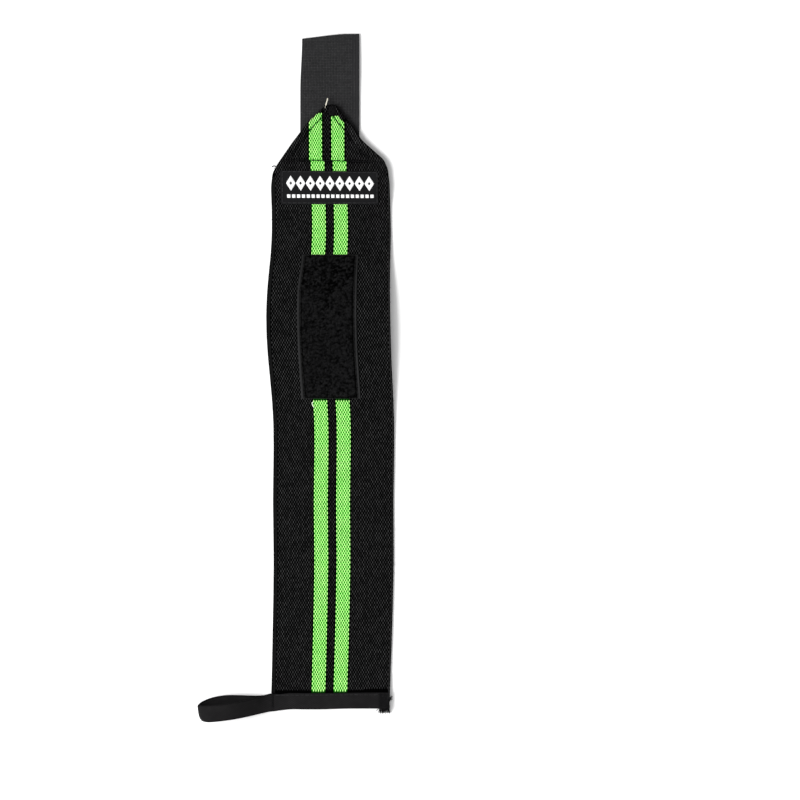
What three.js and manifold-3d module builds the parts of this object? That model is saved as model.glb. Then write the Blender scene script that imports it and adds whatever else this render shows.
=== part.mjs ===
// A lifter's wrist wrap, laid out flat with its outer face up.
//
// A woven elastic band carries two coloured stripes. One end is folded to a point and holds a strap of
// hook tape. A patch of loop tape and a woven label are sewn to the outer face. A narrow tape grips the
// cut end between its two runs, and forms a thumb loop beyond the left edge of the band.
//
// Millimetres, +Z up. +X points to the right and +Y along the band towards the hook strap. The table is
// Z = 0. Everything is laid out from the band's centre line and the outer edge of the narrow tape, and
// the finished group is moved so that the middle of its footprint stands over the origin.
import * as THREE from "three";
import { mergeVertices } from "three/addons/utils/BufferGeometryUtils.js";
import Module from "manifold-3d";

// Clearance between pieces that are sewn face to face.
const clearance = 0.3;

// The elastic band, from its cut end to its folded point.
const bandWidth = 72;
const bandLength = 361.9;
const bandThickness = 1.8;
const bandEdgeBevel = 0.45;
const humpHeight = 6;

// Stretches over which the band climbs onto the narrow tape and onto the hook strap.
const tapeRamp = 14;
const strapRamp = 32;
const rampSteps = 4;

// The point: two corners folded under, with a slit inside each fold and a gap between the corners.
const pointLength = 36.4;
const pointTipWidth = 6;
const foldSlit = 0.3;
const foldSides = 12;
const cornerGap = 7;

// The two woven stripes, set flush into the outer face.
const stripeWidth = 8.2;
const stripeSpacing = 13.3;
const stripeOffset = -0.7;
const stripeThickness = 0.6;

// Hook tape: a woven backing with a field of hooks on its underside.
const strapWidth = 35.6;
const strapReach = 43;
const strapOffset = -0.8;
const strapBacking = 0.8;
const hookDepth = 0.7;
const hookMargin = 1.6;

// Loop tape: a woven backing with a field of soft pile on top.
const patchWidth = 35.6;
const patchLength = 86.7;
const patchStart = 186.5;
const patchOffset = -0.9;
const patchBacking = 0.7;
const pileHeight = 1.3;
const pileMargin = 2.4;
const pileBevel = 0.5;

// Woven label below the point.
const labelWidth = 58.8;
const labelHeight = 20.2;
const labelStart = 303.6;
const labelOffset = -0.6;
const labelThickness = 0.6;

// Narrow tape that grips the cut end and forms the thumb loop.
const tapeWidth = 10.4;
const tapeThickness = 0.9;
const tapeOverlap = 1.5;
const loopReach = 43.4;
const loopOpening = 12.6;
const loopSteps = 34;

// The band's course along its length. at is a share of bandLength from the cut end, sway a sideways
// shift and spread a width as shares of bandWidth, and hump a share of humpHeight.
const bandCourse = [
  { at: 0, sway: -0.007, spread: 0.99, hump: 0 },
  { at: 0.109, sway: 0.008, spread: 0.999, hump: 0 },
  { at: 0.175, sway: 0.016, spread: 1.002, hump: 0 },
  { at: 0.242, sway: 0.021, spread: 1.005, hump: 0 },
  { at: 0.341, sway: 0.017, spread: 1.009, hump: 0 },
  { at: 0.43, sway: 0.023, spread: 1.01, hump: 0 },
  { at: 0.471, sway: 0.022, spread: 1.012, hump: 0.07 },
  { at: 0.507, sway: 0.014, spread: 1.015, hump: 0.28 },
  { at: 0.543, sway: 0.002, spread: 1.022, hump: 0.58 },
  { at: 0.58, sway: -0.011, spread: 1.03, hump: 0.87 },
  { at: 0.615, sway: -0.019, spread: 1.037, hump: 1 },
  { at: 0.653, sway: -0.023, spread: 1.035, hump: 1 },
  { at: 0.69, sway: -0.02, spread: 1.026, hump: 0.82 },
  { at: 0.72, sway: -0.014, spread: 1.014, hump: 0.52 },
  { at: 0.75, sway: -0.005, spread: 1.002, hump: 0.22 },
  { at: 0.785, sway: 0.002, spread: 0.997, hump: 0.03 },
  { at: 0.82, sway: 0, spread: 0.994, hump: 0 },
  { at: 0.87, sway: -0.008, spread: 0.988, hump: 0 },
  { at: 0.894, sway: -0.01, spread: 0.99, hump: 0 },
  { at: 0.92, sway: -0.025, spread: 1.03, hump: 0 },
  { at: 1, sway: -0.027, spread: 1.03, hump: 0 },
];

// Edge of the point, from each selvedge up to the tip. along is a share of pointLength from the base of
// the point, and out a share of half the band's width.
const leftPointEdge = [
  { along: -0.36, out: 1.005 },
  { along: -0.13, out: 0.98 },
  { along: 0.03, out: 0.89 },
  { along: 0.38, out: 0.645 },
  { along: 0.72, out: 0.36 },
];
const rightPointEdge = [
  { along: -0.3, out: 0.98 },
  { along: -0.06, out: 0.955 },
  { along: 0.09, out: 0.88 },
  { along: 0.33, out: 0.65 },
  { along: 0.66, out: 0.39 },
  { along: 0.82, out: 0.225 },
];

// Cut end of the hook strap, across its width from the left: a share of strapWidth, and how far the cut
// falls short of the full reach, as a share of strapReach.
const strapEnd = [
  { across: 0, short: 0.088 },
  { across: 0.48, short: 0.022 },
  { across: 0.72, short: 0.004 },
  { across: 1, short: 0 },
];

// Course of the narrow tape round the thumb loop. out is a share of loopReach beyond the band's edge,
// drop a share of tapeWidth, rise a share of the height that the belly of the loop gains, open a share
// of half of loopOpening, and tilt is in degrees.
const loopCourse = [
  { out: 0.1, drop: 0.25, rise: 0.2, open: 0.2, tilt: 12 },
  { out: 0.2, drop: 0.3, rise: 0.42, open: 0.34, tilt: 23 },
  { out: 0.34, drop: 0.36, rise: 0.68, open: 0.58, tilt: 28 },
  { out: 0.48, drop: 0.42, rise: 0.87, open: 0.8, tilt: 28 },
  { out: 0.62, drop: 0.48, rise: 0.98, open: 0.97, tilt: 26 },
  { out: 0.76, drop: 0.56, rise: 1, open: 1, tilt: 24 },
  { out: 0.88, drop: 0.64, rise: 1, open: 0.85, tilt: 21 },
  { out: 0.965, drop: 0.7, rise: 1, open: 0.5, tilt: 19 },
];
const loopTip = { out: 1, drop: 0.73, rise: 1, open: 0, tilt: 18 };

// The tape turns down from the band's cut end: it starts this far inside the band's edge, as a share of
// loopReach, and has dropped by this share of tapeWidth at the edge.
const tapeCorner = { inside: 0.25, drop: 0.15 };

// Heights and places that follow from the sizes.
const tapeLift = tapeThickness + clearance;
const strapThickness = strapBacking + hookDepth;
const strapLift = strapThickness + clearance + bandThickness + foldSlit;
const foldRadius = bandThickness + foldSlit / 2;
const bandStart = tapeOverlap;
const bandTip = bandStart + bandLength;
const pointBase = bandTip - pointLength;
const beyond = bandLength + strapReach;

const wasm = await Module();
wasm.setup();

// A closed geometry as a solid that can be joined and cut, and such a solid as a geometry.
function toSolid(geometry) {
  const bare = new THREE.BufferGeometry();
  bare.setAttribute("position", geometry.getAttribute("position"));
  bare.setIndex(geometry.getIndex());
  const merged = mergeVertices(bare, 1e-3);
  return new wasm.Manifold(
    new wasm.Mesh({
      numProp: 3,
      vertProperties: merged.attributes.position.array,
      triVerts: new Uint32Array(merged.index.array),
    }),
  );
}

function toGeometry(solid) {
  const mesh = solid.getMesh();
  const geometry = new THREE.BufferGeometry();
  geometry.setAttribute("position", new THREE.BufferAttribute(mesh.vertProperties, 3));
  geometry.setIndex(new THREE.BufferAttribute(mesh.triVerts, 1));
  return geometry;
}

// Sweeps a flat profile of [across, up] points, listed anticlockwise, through frames. A frame holds an
// origin, an across and an up direction, and a spread that widens the profile.
function sweep(profile, frames) {
  const positions = [];
  const index = [];
  const count = profile.length;
  for (const { origin, across, up, spread = 1 } of frames) {
    for (const [s, h] of profile) {
      const point = origin.clone().addScaledVector(across, s * spread).addScaledVector(up, h);
      positions.push(point.x, point.y, point.z);
    }
  }
  for (let i = 0; i + 1 < frames.length; i += 1) {
    for (let j = 0; j < count; j += 1) {
      const a = i * count + j;
      const b = i * count + ((j + 1) % count);
      index.push(a, a + count, b, b, a + count, b + count);
    }
  }
  const flat = profile.map(([s, h]) => new THREE.Vector2(s, h));
  const last = (frames.length - 1) * count;
  for (const [a, b, c] of THREE.ShapeUtils.triangulateShape(flat, [])) {
    index.push(a, b, c);
    index.push(last + a, last + c, last + b);
  }
  const geometry = new THREE.BufferGeometry();
  geometry.setAttribute("position", new THREE.Float32BufferAttribute(positions, 3));
  geometry.setIndex(index);
  return geometry;
}

// A flat outline of [x, y] points as an upright prism that reaches past the wrap above and below.
function cutter(outline) {
  const shape = new THREE.Shape(outline.map(([x, y]) => new THREE.Vector2(x, y)));
  const prism = new THREE.ExtrudeGeometry(shape, { depth: 2 * bandWidth, bevelEnabled: false });
  return toSolid(prism.translate(0, 0, -bandWidth));
}

// Straight-line value of a column at a place along a table.
function tableAt(table, key, column, place) {
  const last = table.length - 1;
  let i = 0;
  while (i < last - 1 && table[i + 1][key] <= place) i += 1;
  const share = (place - table[i][key]) / (table[i + 1][key] - table[i][key]);
  return THREE.MathUtils.lerp(table[i][column], table[i + 1][column], THREE.MathUtils.clamp(share, 0, 1));
}

// Places along the band where its section is given: the rows of its course and the steps of its ramps.
function stationPlaces() {
  const steps = (start, length) =>
    Array.from({ length: rampSteps + 1 }, (_, i) => start + (i / rampSteps) * length);
  const ramps = [...steps(tapeWidth, tapeRamp), ...steps(pointBase - strapRamp, strapRamp)];
  const spacing = tapeRamp / rampSteps / 2;
  const rows = bandCourse
    .map(({ at }) => bandStart + at * bandLength)
    .filter((y) => ramps.every((ramp) => Math.abs(ramp - y) > spacing));
  return [...rows, ...ramps].sort((a, b) => a - b);
}

function bandStation(y) {
  const course = (column) => tableAt(bandCourse, "at", column, (y - bandStart) / bandLength);
  const climb = (share) => THREE.MathUtils.smoothstep(share, 0, 1);
  return {
    y,
    centre: bandWidth * course("sway"),
    spread: course("spread"),
    under:
      humpHeight * course("hump") +
      tapeLift * climb((tapeWidth + tapeRamp - y) / tapeRamp) +
      strapLift * climb((y - pointBase + strapRamp) / strapRamp),
  };
}

const bandStations = stationPlaces().map(bandStation);
const bandAt = (column, y) => tableAt(bandStations, "y", column, y);
const overBand = (y) => bandAt("under", y) + bandThickness + clearance;

// Frames along the band between two places, one at each end and one at each station between them.
function framesAlong(start, end, height, offset = 0) {
  const between = bandStations.map(({ y }) => y).filter((y) => y > start + clearance && y < end - clearance);
  return [start, ...between, end].map((y) => ({
    origin: new THREE.Vector3(bandAt("centre", y) + offset, y, height(y)),
    across: new THREE.Vector3(1, 0, 0),
    up: new THREE.Vector3(0, 0, 1),
    spread: bandAt("spread", y),
  }));
}

const evenly = (frames) => frames.map((frame) => ({ ...frame, spread: 1 }));

// Profile of a rectangle between two heights, with its corners cut off by a bevel where one is given.
function block(width, low, high, bevel = 0) {
  const half = width / 2;
  if (bevel === 0) {
    return [
      [-half, low],
      [half, low],
      [half, high],
      [-half, high],
    ];
  }
  return [
    [-half + bevel, low],
    [half - bevel, low],
    [half, low + bevel],
    [half, high - bevel],
    [half - bevel, high],
    [-half + bevel, high],
    [-half, high - bevel],
    [-half, low + bevel],
  ];
}

// Outline of the point in plan, up its left edge, across the tip and down its right edge.
function pointOutline() {
  const edge = (table, side) =>
    table.map(({ along, out }) => [(side * out * bandWidth) / 2, pointBase + along * pointLength]);
  return [
    ...edge(leftPointEdge, -1),
    [-pointTipWidth / 2, bandTip],
    [pointTipWidth / 2, bandTip],
    ...edge(rightPointEdge, 1).reverse(),
  ];
}

// Direction of each stretch of an open outline, and the mitre at each of its points.
function mitres(outline) {
  const stretches = outline.slice(1).map(([x, y], i) => {
    const run = new THREE.Vector2(x - outline[i][0], y - outline[i][1]);
    return run.normalize();
  });
  return outline.map((_, i) => {
    const before = stretches[Math.max(i - 1, 0)];
    const after = stretches[Math.min(i, stretches.length - 1)];
    const along = before.clone().add(after).normalize();
    return { right: new THREE.Vector2(along.y, -along.x), stretch: 1 / along.dot(after) };
  });
}

// An open outline moved to its right-hand side, which is inwards for the outline of the point.
function drawnIn(outline, distance) {
  return mitres(outline).map(({ right, stretch }, i) => [
    outline[i][0] + right.x * stretch * distance,
    outline[i][1] + right.y * stretch * distance,
  ]);
}

// A block that covers everything on one side of the base of the point.
function besideBase(side) {
  return cutter([
    [-bandWidth, pointBase],
    [bandWidth, pointBase],
    [bandWidth, pointBase + side * beyond],
    [-bandWidth, pointBase + side * beyond],
  ]);
}

// Everything below the point together with the point's own outline, drawn in by a distance.
function pointedCutter(inset) {
  const outline = drawnIn(pointOutline(), inset);
  const [left, right] = [outline[0], outline[outline.length - 1]];
  return cutter([[-bandWidth, -beyond], [-bandWidth, left[1]], ...outline, [bandWidth, right[1]], [bandWidth, -beyond]]);
}

// The rolled fold along the edge of the point, and the two corners that it carries underneath.
function foldedCorners() {
  const middle = strapLift - foldSlit / 2;
  const foldLine = drawnIn(pointOutline(), foldRadius).slice(1, -1);
  const circle = Array.from({ length: foldSides }, (_, i) => {
    const angle = ((i + 0.5) / foldSides) * 2 * Math.PI;
    return [foldRadius * Math.cos(angle), foldRadius * Math.sin(angle)];
  });
  const frames = mitres(foldLine).map(({ right, stretch }, i) => ({
    origin: new THREE.Vector3(...foldLine[i], middle),
    across: new THREE.Vector3(right.x, right.y, 0),
    up: new THREE.Vector3(0, 0, 1),
    spread: stretch,
  }));
  const sheetTop = middle - foldSlit / 2;
  const sheet = toSolid(
    sweep(block(bandWidth, sheetTop - bandThickness, sheetTop), [
      { origin: new THREE.Vector3(0, pointBase - foldRadius, 0), ...upright() },
      { origin: new THREE.Vector3(0, bandTip, 0), ...upright() },
    ]),
  );
  const between = cutter([
    [-cornerGap / 2, pointBase - bandThickness],
    [cornerGap / 2, pointBase - bandThickness],
    [cornerGap / 2, bandTip - foldRadius],
    [-cornerGap / 2, bandTip - foldRadius],
  ]);
  const corners = sheet.intersect(cutter(foldLine)).subtract(between);
  return toSolid(sweep(circle, frames)).add(corners).intersect(besideBase(1));
}

const upright = () => ({ across: new THREE.Vector3(1, 0, 0), up: new THREE.Vector3(0, 0, 1) });

// A stripe fills its groove but for the clearance, and the groove is open above the band.
function stripeSolid(side) {
  const offset = stripeOffset + (side * stripeSpacing) / 2;
  const profile = block(stripeWidth, bandThickness - stripeThickness, bandThickness);
  const strip = sweep(profile, framesAlong(bandStart, bandTip, (y) => bandAt("under", y), offset));
  return toSolid(strip).intersect(pointedCutter(foldRadius / 2));
}

function grooveSolid(side) {
  const offset = stripeOffset + (side * stripeSpacing) / 2;
  const floor = bandThickness - stripeThickness - clearance;
  const profile = block(stripeWidth + 2 * clearance, floor, 2 * bandThickness);
  const frames = framesAlong(bandStart - foldRadius, bandTip + foldRadius, (y) => bandAt("under", y), offset);
  return toSolid(sweep(profile, frames));
}

function bandSolid() {
  const profile = block(bandWidth, 0, bandThickness, bandEdgeBevel);
  const strip = toSolid(sweep(profile, framesAlong(bandStart, bandTip, (y) => bandAt("under", y))));
  const inFold = besideBase(-1).add(pointedCutter(foldRadius));
  const pointed = strip.intersect(pointedCutter(0)).intersect(inFold);
  return pointed.add(foldedCorners()).subtract(grooveSolid(-1)).subtract(grooveSolid(1));
}

// Hook strap: a backing with a narrower field of hooks below it, cut to a slightly skewed end.
function strapSolid() {
  const half = strapWidth / 2;
  const inner = half - hookMargin;
  const profile = [
    [-inner, 0],
    [inner, 0],
    [inner, hookDepth],
    [half, hookDepth],
    [half, strapThickness],
    [-half, strapThickness],
    [-half, hookDepth],
    [-inner, hookDepth],
  ];
  const end = bandTip + strapReach;
  const frames = [pointBase, end].map((y) => ({ origin: new THREE.Vector3(strapOffset, y, 0), ...upright() }));
  const cut = strapEnd.map(({ across, short }) => [
    strapOffset + (across - 0.5) * strapWidth,
    end - short * strapReach,
  ]);
  const [left, right] = [cut[0], cut[cut.length - 1]];
  const keep = cutter([[-bandWidth, 0], [-bandWidth, left[1]], ...cut, [bandWidth, right[1]], [bandWidth, 0]]);
  return toSolid(sweep(profile, frames)).intersect(keep);
}

// Loop patch: a backing with a low field of pile between its two selvedges.
function patchGeometry() {
  const half = patchWidth / 2;
  const inner = half - pileMargin;
  const top = patchBacking + pileHeight;
  const profile = [
    [-half, 0],
    [half, 0],
    [half, patchBacking],
    [inner, patchBacking],
    [inner, top - pileBevel],
    [inner - pileBevel, top],
    [-inner + pileBevel, top],
    [-inner, top - pileBevel],
    [-inner, patchBacking],
    [-half, patchBacking],
  ];
  return sweep(profile, evenly(framesAlong(patchStart, patchStart + patchLength, overBand, patchOffset)));
}

function labelGeometry() {
  const frames = framesAlong(labelStart, labelStart + labelHeight, overBand, labelOffset);
  return sweep(block(labelWidth, 0, labelThickness), evenly(frames));
}

// Centre line of the narrow tape with its lean: over the band from the right, round the thumb loop and
// back under the band.
function tapeStations() {
  const halfBand = (bandWidth / 2) * bandAt("spread", bandStart);
  const left = bandAt("centre", bandStart) - halfBand;
  const right = bandAt("centre", bandStart) + halfBand;
  const over = overBand(bandStart) + tapeThickness / 2;
  const under = tapeThickness / 2;
  const between = (over + under) / 2;
  const fullest = loopCourse.reduce((most, row) => (row.open > most.open ? row : most));
  const lean = THREE.MathUtils.degToRad(fullest.tilt);
  const belly = (loopOpening / 2) * Math.cos(lean) + (tapeWidth / 2) * Math.sin(lean) + tapeThickness;
  const onLoop = (run) => (row) => {
    const tilt = THREE.MathUtils.degToRad(row.tilt);
    const half = (run * row.open * loopOpening) / 2;
    return {
      point: new THREE.Vector3(
        left - row.out * loopReach,
        (0.5 - row.drop) * tapeWidth - half * Math.sin(tilt),
        between + row.rise * (belly - between) + half * Math.cos(tilt),
      ),
      tilt,
    };
  };
  const flat = (x, drop, z) => ({ point: new THREE.Vector3(x, (0.5 - drop) * tapeWidth, z), tilt: 0 });
  const loop = [
    flat(left, tapeCorner.drop, over),
    ...loopCourse.map(onLoop(1)),
    onLoop(0)(loopTip),
    ...loopCourse.map(onLoop(-1)).reverse(),
    flat(left, tapeCorner.drop, under),
  ];
  const curve = new THREE.CatmullRomCurve3(loop.map(({ point }) => point), false, "centripetal");
  const round = Array.from({ length: loopSteps + 1 }, (_, i) => {
    const place = (i / loopSteps) * (loop.length - 1);
    const [before, after] = [loop[Math.floor(place)], loop[Math.ceil(place)]];
    return {
      point: curve.getPoint(i / loopSteps),
      tilt: THREE.MathUtils.lerp(before.tilt, after.tilt, place % 1),
    };
  });
  const corner = left + tapeCorner.inside * loopReach;
  return [flat(right, 0, over), flat(corner, 0, over), ...round, flat(corner, 0, under), flat(right, 0, under)];
}

function tapeGeometry() {
  const stations = tapeStations();
  const frames = stations.map(({ point, tilt }, i) => {
    const before = stations[Math.max(i - 1, 0)].point;
    const after = stations[Math.min(i + 1, stations.length - 1)].point;
    const along = after.clone().sub(before).normalize();
    const across = new THREE.Vector3(0, Math.cos(tilt), Math.sin(tilt));
    return { origin: point, across, up: across.clone().cross(along).normalize() };
  });
  return sweep(block(tapeWidth, -tapeThickness / 2, tapeThickness / 2), frames);
}

// Finishes, with the colours of the real cloths.
const blackWeave = new THREE.MeshStandardMaterial({ color: 0x181818, roughness: 0.9, metalness: 0 });
const leftGreen = new THREE.MeshStandardMaterial({ color: 0x8fe26a, roughness: 0.75, metalness: 0 });
const rightGreen = new THREE.MeshStandardMaterial({ color: 0x8fe26a, roughness: 0.75, metalness: 0 });
const hookTape = new THREE.MeshStandardMaterial({ color: 0x303030, roughness: 0.7, metalness: 0 });
const loopPile = new THREE.MeshStandardMaterial({ color: 0x121212, roughness: 1, metalness: 0 });
const wovenSatin = new THREE.MeshStandardMaterial({ color: 0x1d1d1f, roughness: 0.55, metalness: 0 });
const bindingTape = new THREE.MeshStandardMaterial({ color: 0x242324, roughness: 0.6, metalness: 0 });

function piece(name, geometry, material) {
  geometry.computeVertexNormals();
  const mesh = new THREE.Mesh(geometry, material);
  mesh.name = name;
  return mesh;
}

const laidOut = new THREE.Group();
laidOut.add(
  piece("elastic_band", toGeometry(bandSolid()), blackWeave),
  piece("stripe_left", toGeometry(stripeSolid(-1)), leftGreen),
  piece("stripe_right", toGeometry(stripeSolid(1)), rightGreen),
  piece("hook_strap", toGeometry(strapSolid()), hookTape),
  piece("loop_patch", patchGeometry(), loopPile),
  piece("woven_label", labelGeometry(), wovenSatin),
  piece("thumb_loop_tape", tapeGeometry(), bindingTape),
);

// The middle of the footprint stands over the origin, on the table.
const footprint = new THREE.Box3().setFromObject(laidOut);
const centre = footprint.getCenter(new THREE.Vector3());
laidOut.position.set(-centre.x, -centre.y, -footprint.min.z);

const wristWrap = new THREE.Group();
wristWrap.name = "wrist_wrap";
wristWrap.add(laidOut);

export default wristWrap;
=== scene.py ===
"""A lifter's wrist wrap, laid out flat with its outer face up, dressed in its woven cloths.

Shapes are worked out in millimetres, in the layout that the solids have: x from the band's middle to the
right, y from the outer edge of the narrow tape along the band, z up from the table. A piece is moved into
the row frame, in metres, when its mesh is made.
"""

import logging
import math
from dataclasses import dataclass, field
from enum import Enum
from typing import Callable, Mapping, Sequence

import bpy
import numpy as np
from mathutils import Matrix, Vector


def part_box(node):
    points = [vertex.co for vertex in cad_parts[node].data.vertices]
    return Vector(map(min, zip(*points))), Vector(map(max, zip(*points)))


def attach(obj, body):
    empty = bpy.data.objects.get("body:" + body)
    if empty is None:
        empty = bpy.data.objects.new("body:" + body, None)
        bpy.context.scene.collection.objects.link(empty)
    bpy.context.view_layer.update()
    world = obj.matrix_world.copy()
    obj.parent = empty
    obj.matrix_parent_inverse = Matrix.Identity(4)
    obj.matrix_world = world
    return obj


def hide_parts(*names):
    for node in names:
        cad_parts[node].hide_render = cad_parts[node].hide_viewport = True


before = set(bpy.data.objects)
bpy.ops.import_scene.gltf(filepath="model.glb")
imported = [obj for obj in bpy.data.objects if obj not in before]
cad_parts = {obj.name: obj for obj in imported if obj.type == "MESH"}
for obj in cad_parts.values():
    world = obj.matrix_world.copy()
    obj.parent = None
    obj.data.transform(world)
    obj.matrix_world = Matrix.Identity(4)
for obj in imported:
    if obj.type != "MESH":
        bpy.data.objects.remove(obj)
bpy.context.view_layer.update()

logging.basicConfig(level=logging.INFO, format="%(message)s")
log = logging.getLogger("wrist_wrap")

MM = 0.001
SEED = 417

# Sizes of the solids, in millimetres.
CLEARANCE = 0.3
BAND_WIDTH = 72.0
BAND_LENGTH = 361.9
BAND_THICKNESS = 1.8
HUMP_HEIGHT = 6.0
TAPE_RAMP = 14.0
STRAP_RAMP = 32.0
POINT_LENGTH = 36.4
POINT_TIP_WIDTH = 6.0
FOLD_SLIT = 0.3
CORNER_GAP = 7.0
STRIPE_WIDTH = 8.2
STRIPE_SPACING = 13.3
STRIPE_OFFSET = -0.7
STRAP_WIDTH = 35.6
STRAP_REACH = 43.0
STRAP_OFFSET = -0.8
STRAP_BACKING = 0.8
HOOK_DEPTH = 0.7
HOOK_MARGIN = 1.6
PATCH_WIDTH = 35.6
PATCH_LENGTH = 86.7
PATCH_START = 186.5
PATCH_OFFSET = -0.9
PATCH_BACKING = 0.7
PILE_MARGIN = 2.4
LABEL_WIDTH = 58.8
LABEL_HEIGHT = 20.2
LABEL_START = 303.6
LABEL_OFFSET = -0.6
LABEL_THICKNESS = 0.6
TAPE_WIDTH = 10.4
TAPE_THICKNESS = 0.9
TAPE_OVERLAP = 1.5
LOOP_REACH = 43.4
LOOP_OPENING = 12.6

TAPE_LIFT = TAPE_THICKNESS + CLEARANCE
STRAP_THICKNESS = STRAP_BACKING + HOOK_DEPTH
STRAP_LIFT = STRAP_THICKNESS + CLEARANCE + BAND_THICKNESS + FOLD_SLIT
FOLD_RADIUS = BAND_THICKNESS + FOLD_SLIT / 2
BAND_START = TAPE_OVERLAP
BAND_TIP = BAND_START + BAND_LENGTH
POINT_BASE = BAND_TIP - POINT_LENGTH
SHOULDER = POINT_BASE - 0.38 * POINT_LENGTH

# The band's course: share of its length, sideways sway and spread as shares of its width, share of the hump.
BAND_COURSE = np.array([
    (0, -0.007, 0.99, 0), (0.109, 0.008, 0.999, 0), (0.175, 0.016, 1.002, 0), (0.242, 0.021, 1.005, 0),
    (0.341, 0.017, 1.009, 0), (0.43, 0.023, 1.01, 0), (0.471, 0.022, 1.012, 0.07),
    (0.507, 0.014, 1.015, 0.28), (0.543, 0.002, 1.022, 0.58), (0.58, -0.011, 1.03, 0.87),
    (0.615, -0.019, 1.037, 1), (0.653, -0.023, 1.035, 1), (0.69, -0.02, 1.026, 0.82),
    (0.72, -0.014, 1.014, 0.52), (0.75, -0.005, 1.002, 0.22), (0.785, 0.002, 0.997, 0.03),
    (0.82, 0, 0.994, 0), (0.87, -0.008, 0.988, 0), (0.894, -0.01, 0.99, 0), (0.92, -0.025, 1.03, 0),
    (1, -0.027, 1.03, 0),
])

# Edge of the point: share of its length from its base, and share of half the band's width.
LEFT_POINT_EDGE = ((-0.36, 1.005), (-0.13, 0.98), (0.03, 0.89), (0.38, 0.645), (0.72, 0.38))
RIGHT_POINT_EDGE = (
    (-0.3, 0.98), (-0.06, 0.95), (0.09, 0.885), (0.26, 0.69), (0.41, 0.52), (0.66, 0.35), (0.82, 0.21),
)

# Cut end of the hook strap: share of its width from the left, and share of its reach that is cut off.
STRAP_END = np.array([(0, 0.068), (0.48, 0.022), (0.72, 0.004), (1, 0)])

# The narrow tape round the thumb loop: out, drop, rise and open as shares, and tilt in degrees.
LOOP_COURSE = (
    (0.1, 0.25, 0.2, 0.2, 12), (0.2, 0.3, 0.42, 0.34, 23), (0.34, 0.36, 0.68, 0.58, 28),
    (0.48, 0.42, 0.87, 0.8, 28), (0.62, 0.48, 0.98, 0.97, 26), (0.76, 0.56, 1, 1, 24),
    (0.88, 0.64, 1, 0.85, 21), (0.965, 0.7, 1, 0.5, 19),
)
LOOP_TIP = (1, 0.73, 1, 0, 18)
TAPE_CORNER = (0.25, 0.15)

# Seams of the point: one across it, slanting down to the right, and one inside each folded edge.
SEAM_ACROSS = 329.6
SEAM_SLANT = 0.027
SEAM_INSETS = (4.1, 5.4)
SEAM_PULL = 0.42
POINT_DRAW = 0.022
STRIPE_DRAW = 0.065

# Where the green gives way to black at the point: a height on each stripe, and a distance in from the edge.
GREEN_TOPS = (358.3, 356.5)
GREEN_INSETS = (0.2, 2.7)

Points = np.ndarray
Colour = tuple[float, float, float]
Pair = tuple[float, float]
Rng = np.random.Generator
Piece = bpy.types.Object
Socket = bpy.types.NodeSocket


class Side(Enum):
    """The two sides of the band, seen with its point up."""

    LEFT = -1
    RIGHT = 1

    def pick(self, pair: Sequence[float]) -> float:
        """The left or the right one of two numbers."""
        return pair[0] if self is Side.LEFT else pair[1]


def ease(share: Points) -> Points:
    """Smooth step from 0 to 1."""
    share = np.clip(share, 0, 1)
    return share * share * (3 - 2 * share)


def relax(values: Points, reach: float) -> Points:
    """Softens the corners of evenly spaced values.

    Args:
        values: Samples along the first axis.
        reach: Standard deviation of the softening, in samples.

    Returns:
        The softened samples.
    """
    half = max(int(4 * reach), 1)
    weights = np.exp(-0.5 * (np.arange(-half, half + 1) / reach) ** 2)
    weights /= weights.sum()
    columns = values.reshape(len(values), -1)
    padded = np.concatenate([np.repeat(columns[:1], half, 0), columns, np.repeat(columns[-1:], half, 0)])
    soft = np.stack([np.convolve(column, weights, "valid") for column in padded.T], 1)
    return soft.reshape(values.shape)


def mottle(x: Points, y: Points, size: Pair) -> Points:
    """Smooth random blotches over a cloth.

    Args:
        x: Places across.
        y: Places along.
        size: Width and length of a blotch.

    Returns:
        Values from 0 to 1.
    """
    table = np.random.default_rng(SEED + 9).random((61, 61))
    u, v = np.asarray(x) / size[0] + 400.0, np.asarray(y) / size[1]
    i, j = np.floor(u).astype(int), np.floor(v).astype(int)
    s, t = ease(u - i), ease(v - j)
    corners = [table[(i + a) % 61, (j + b) % 61] for a, b in ((0, 0), (1, 0), (0, 1), (1, 1))]
    return (corners[0] * (1 - s) + corners[1] * s) * (1 - t) + (corners[2] * (1 - s) + corners[3] * s) * t


def past_seam(y: Points) -> Points:
    """0 on the band's body and 1 on its point, past the seam across it."""
    return ease((np.asarray(y) - SEAM_ACROSS) / 1.4 + 0.5)


def beside_tape(x: Points, y: Points) -> Points:
    """How far a place of the band lies in the dark beside the narrow tape's raised edge."""
    return ease((TAPE_WIDTH + 0.5 + 1.1 * ease((x - 8) / 18) - y) / 0.7)


def painted_light_at_point(x: Points, y: Points) -> Points:
    """How far the black beside the right stripe is made lighter at the point: painted light on its rolled
    edge, which turns away from the lamp.
    """
    return ease((y - SEAM_ACROSS - 3) / 10) * ease((x - 10.5) / 2.5)


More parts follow.
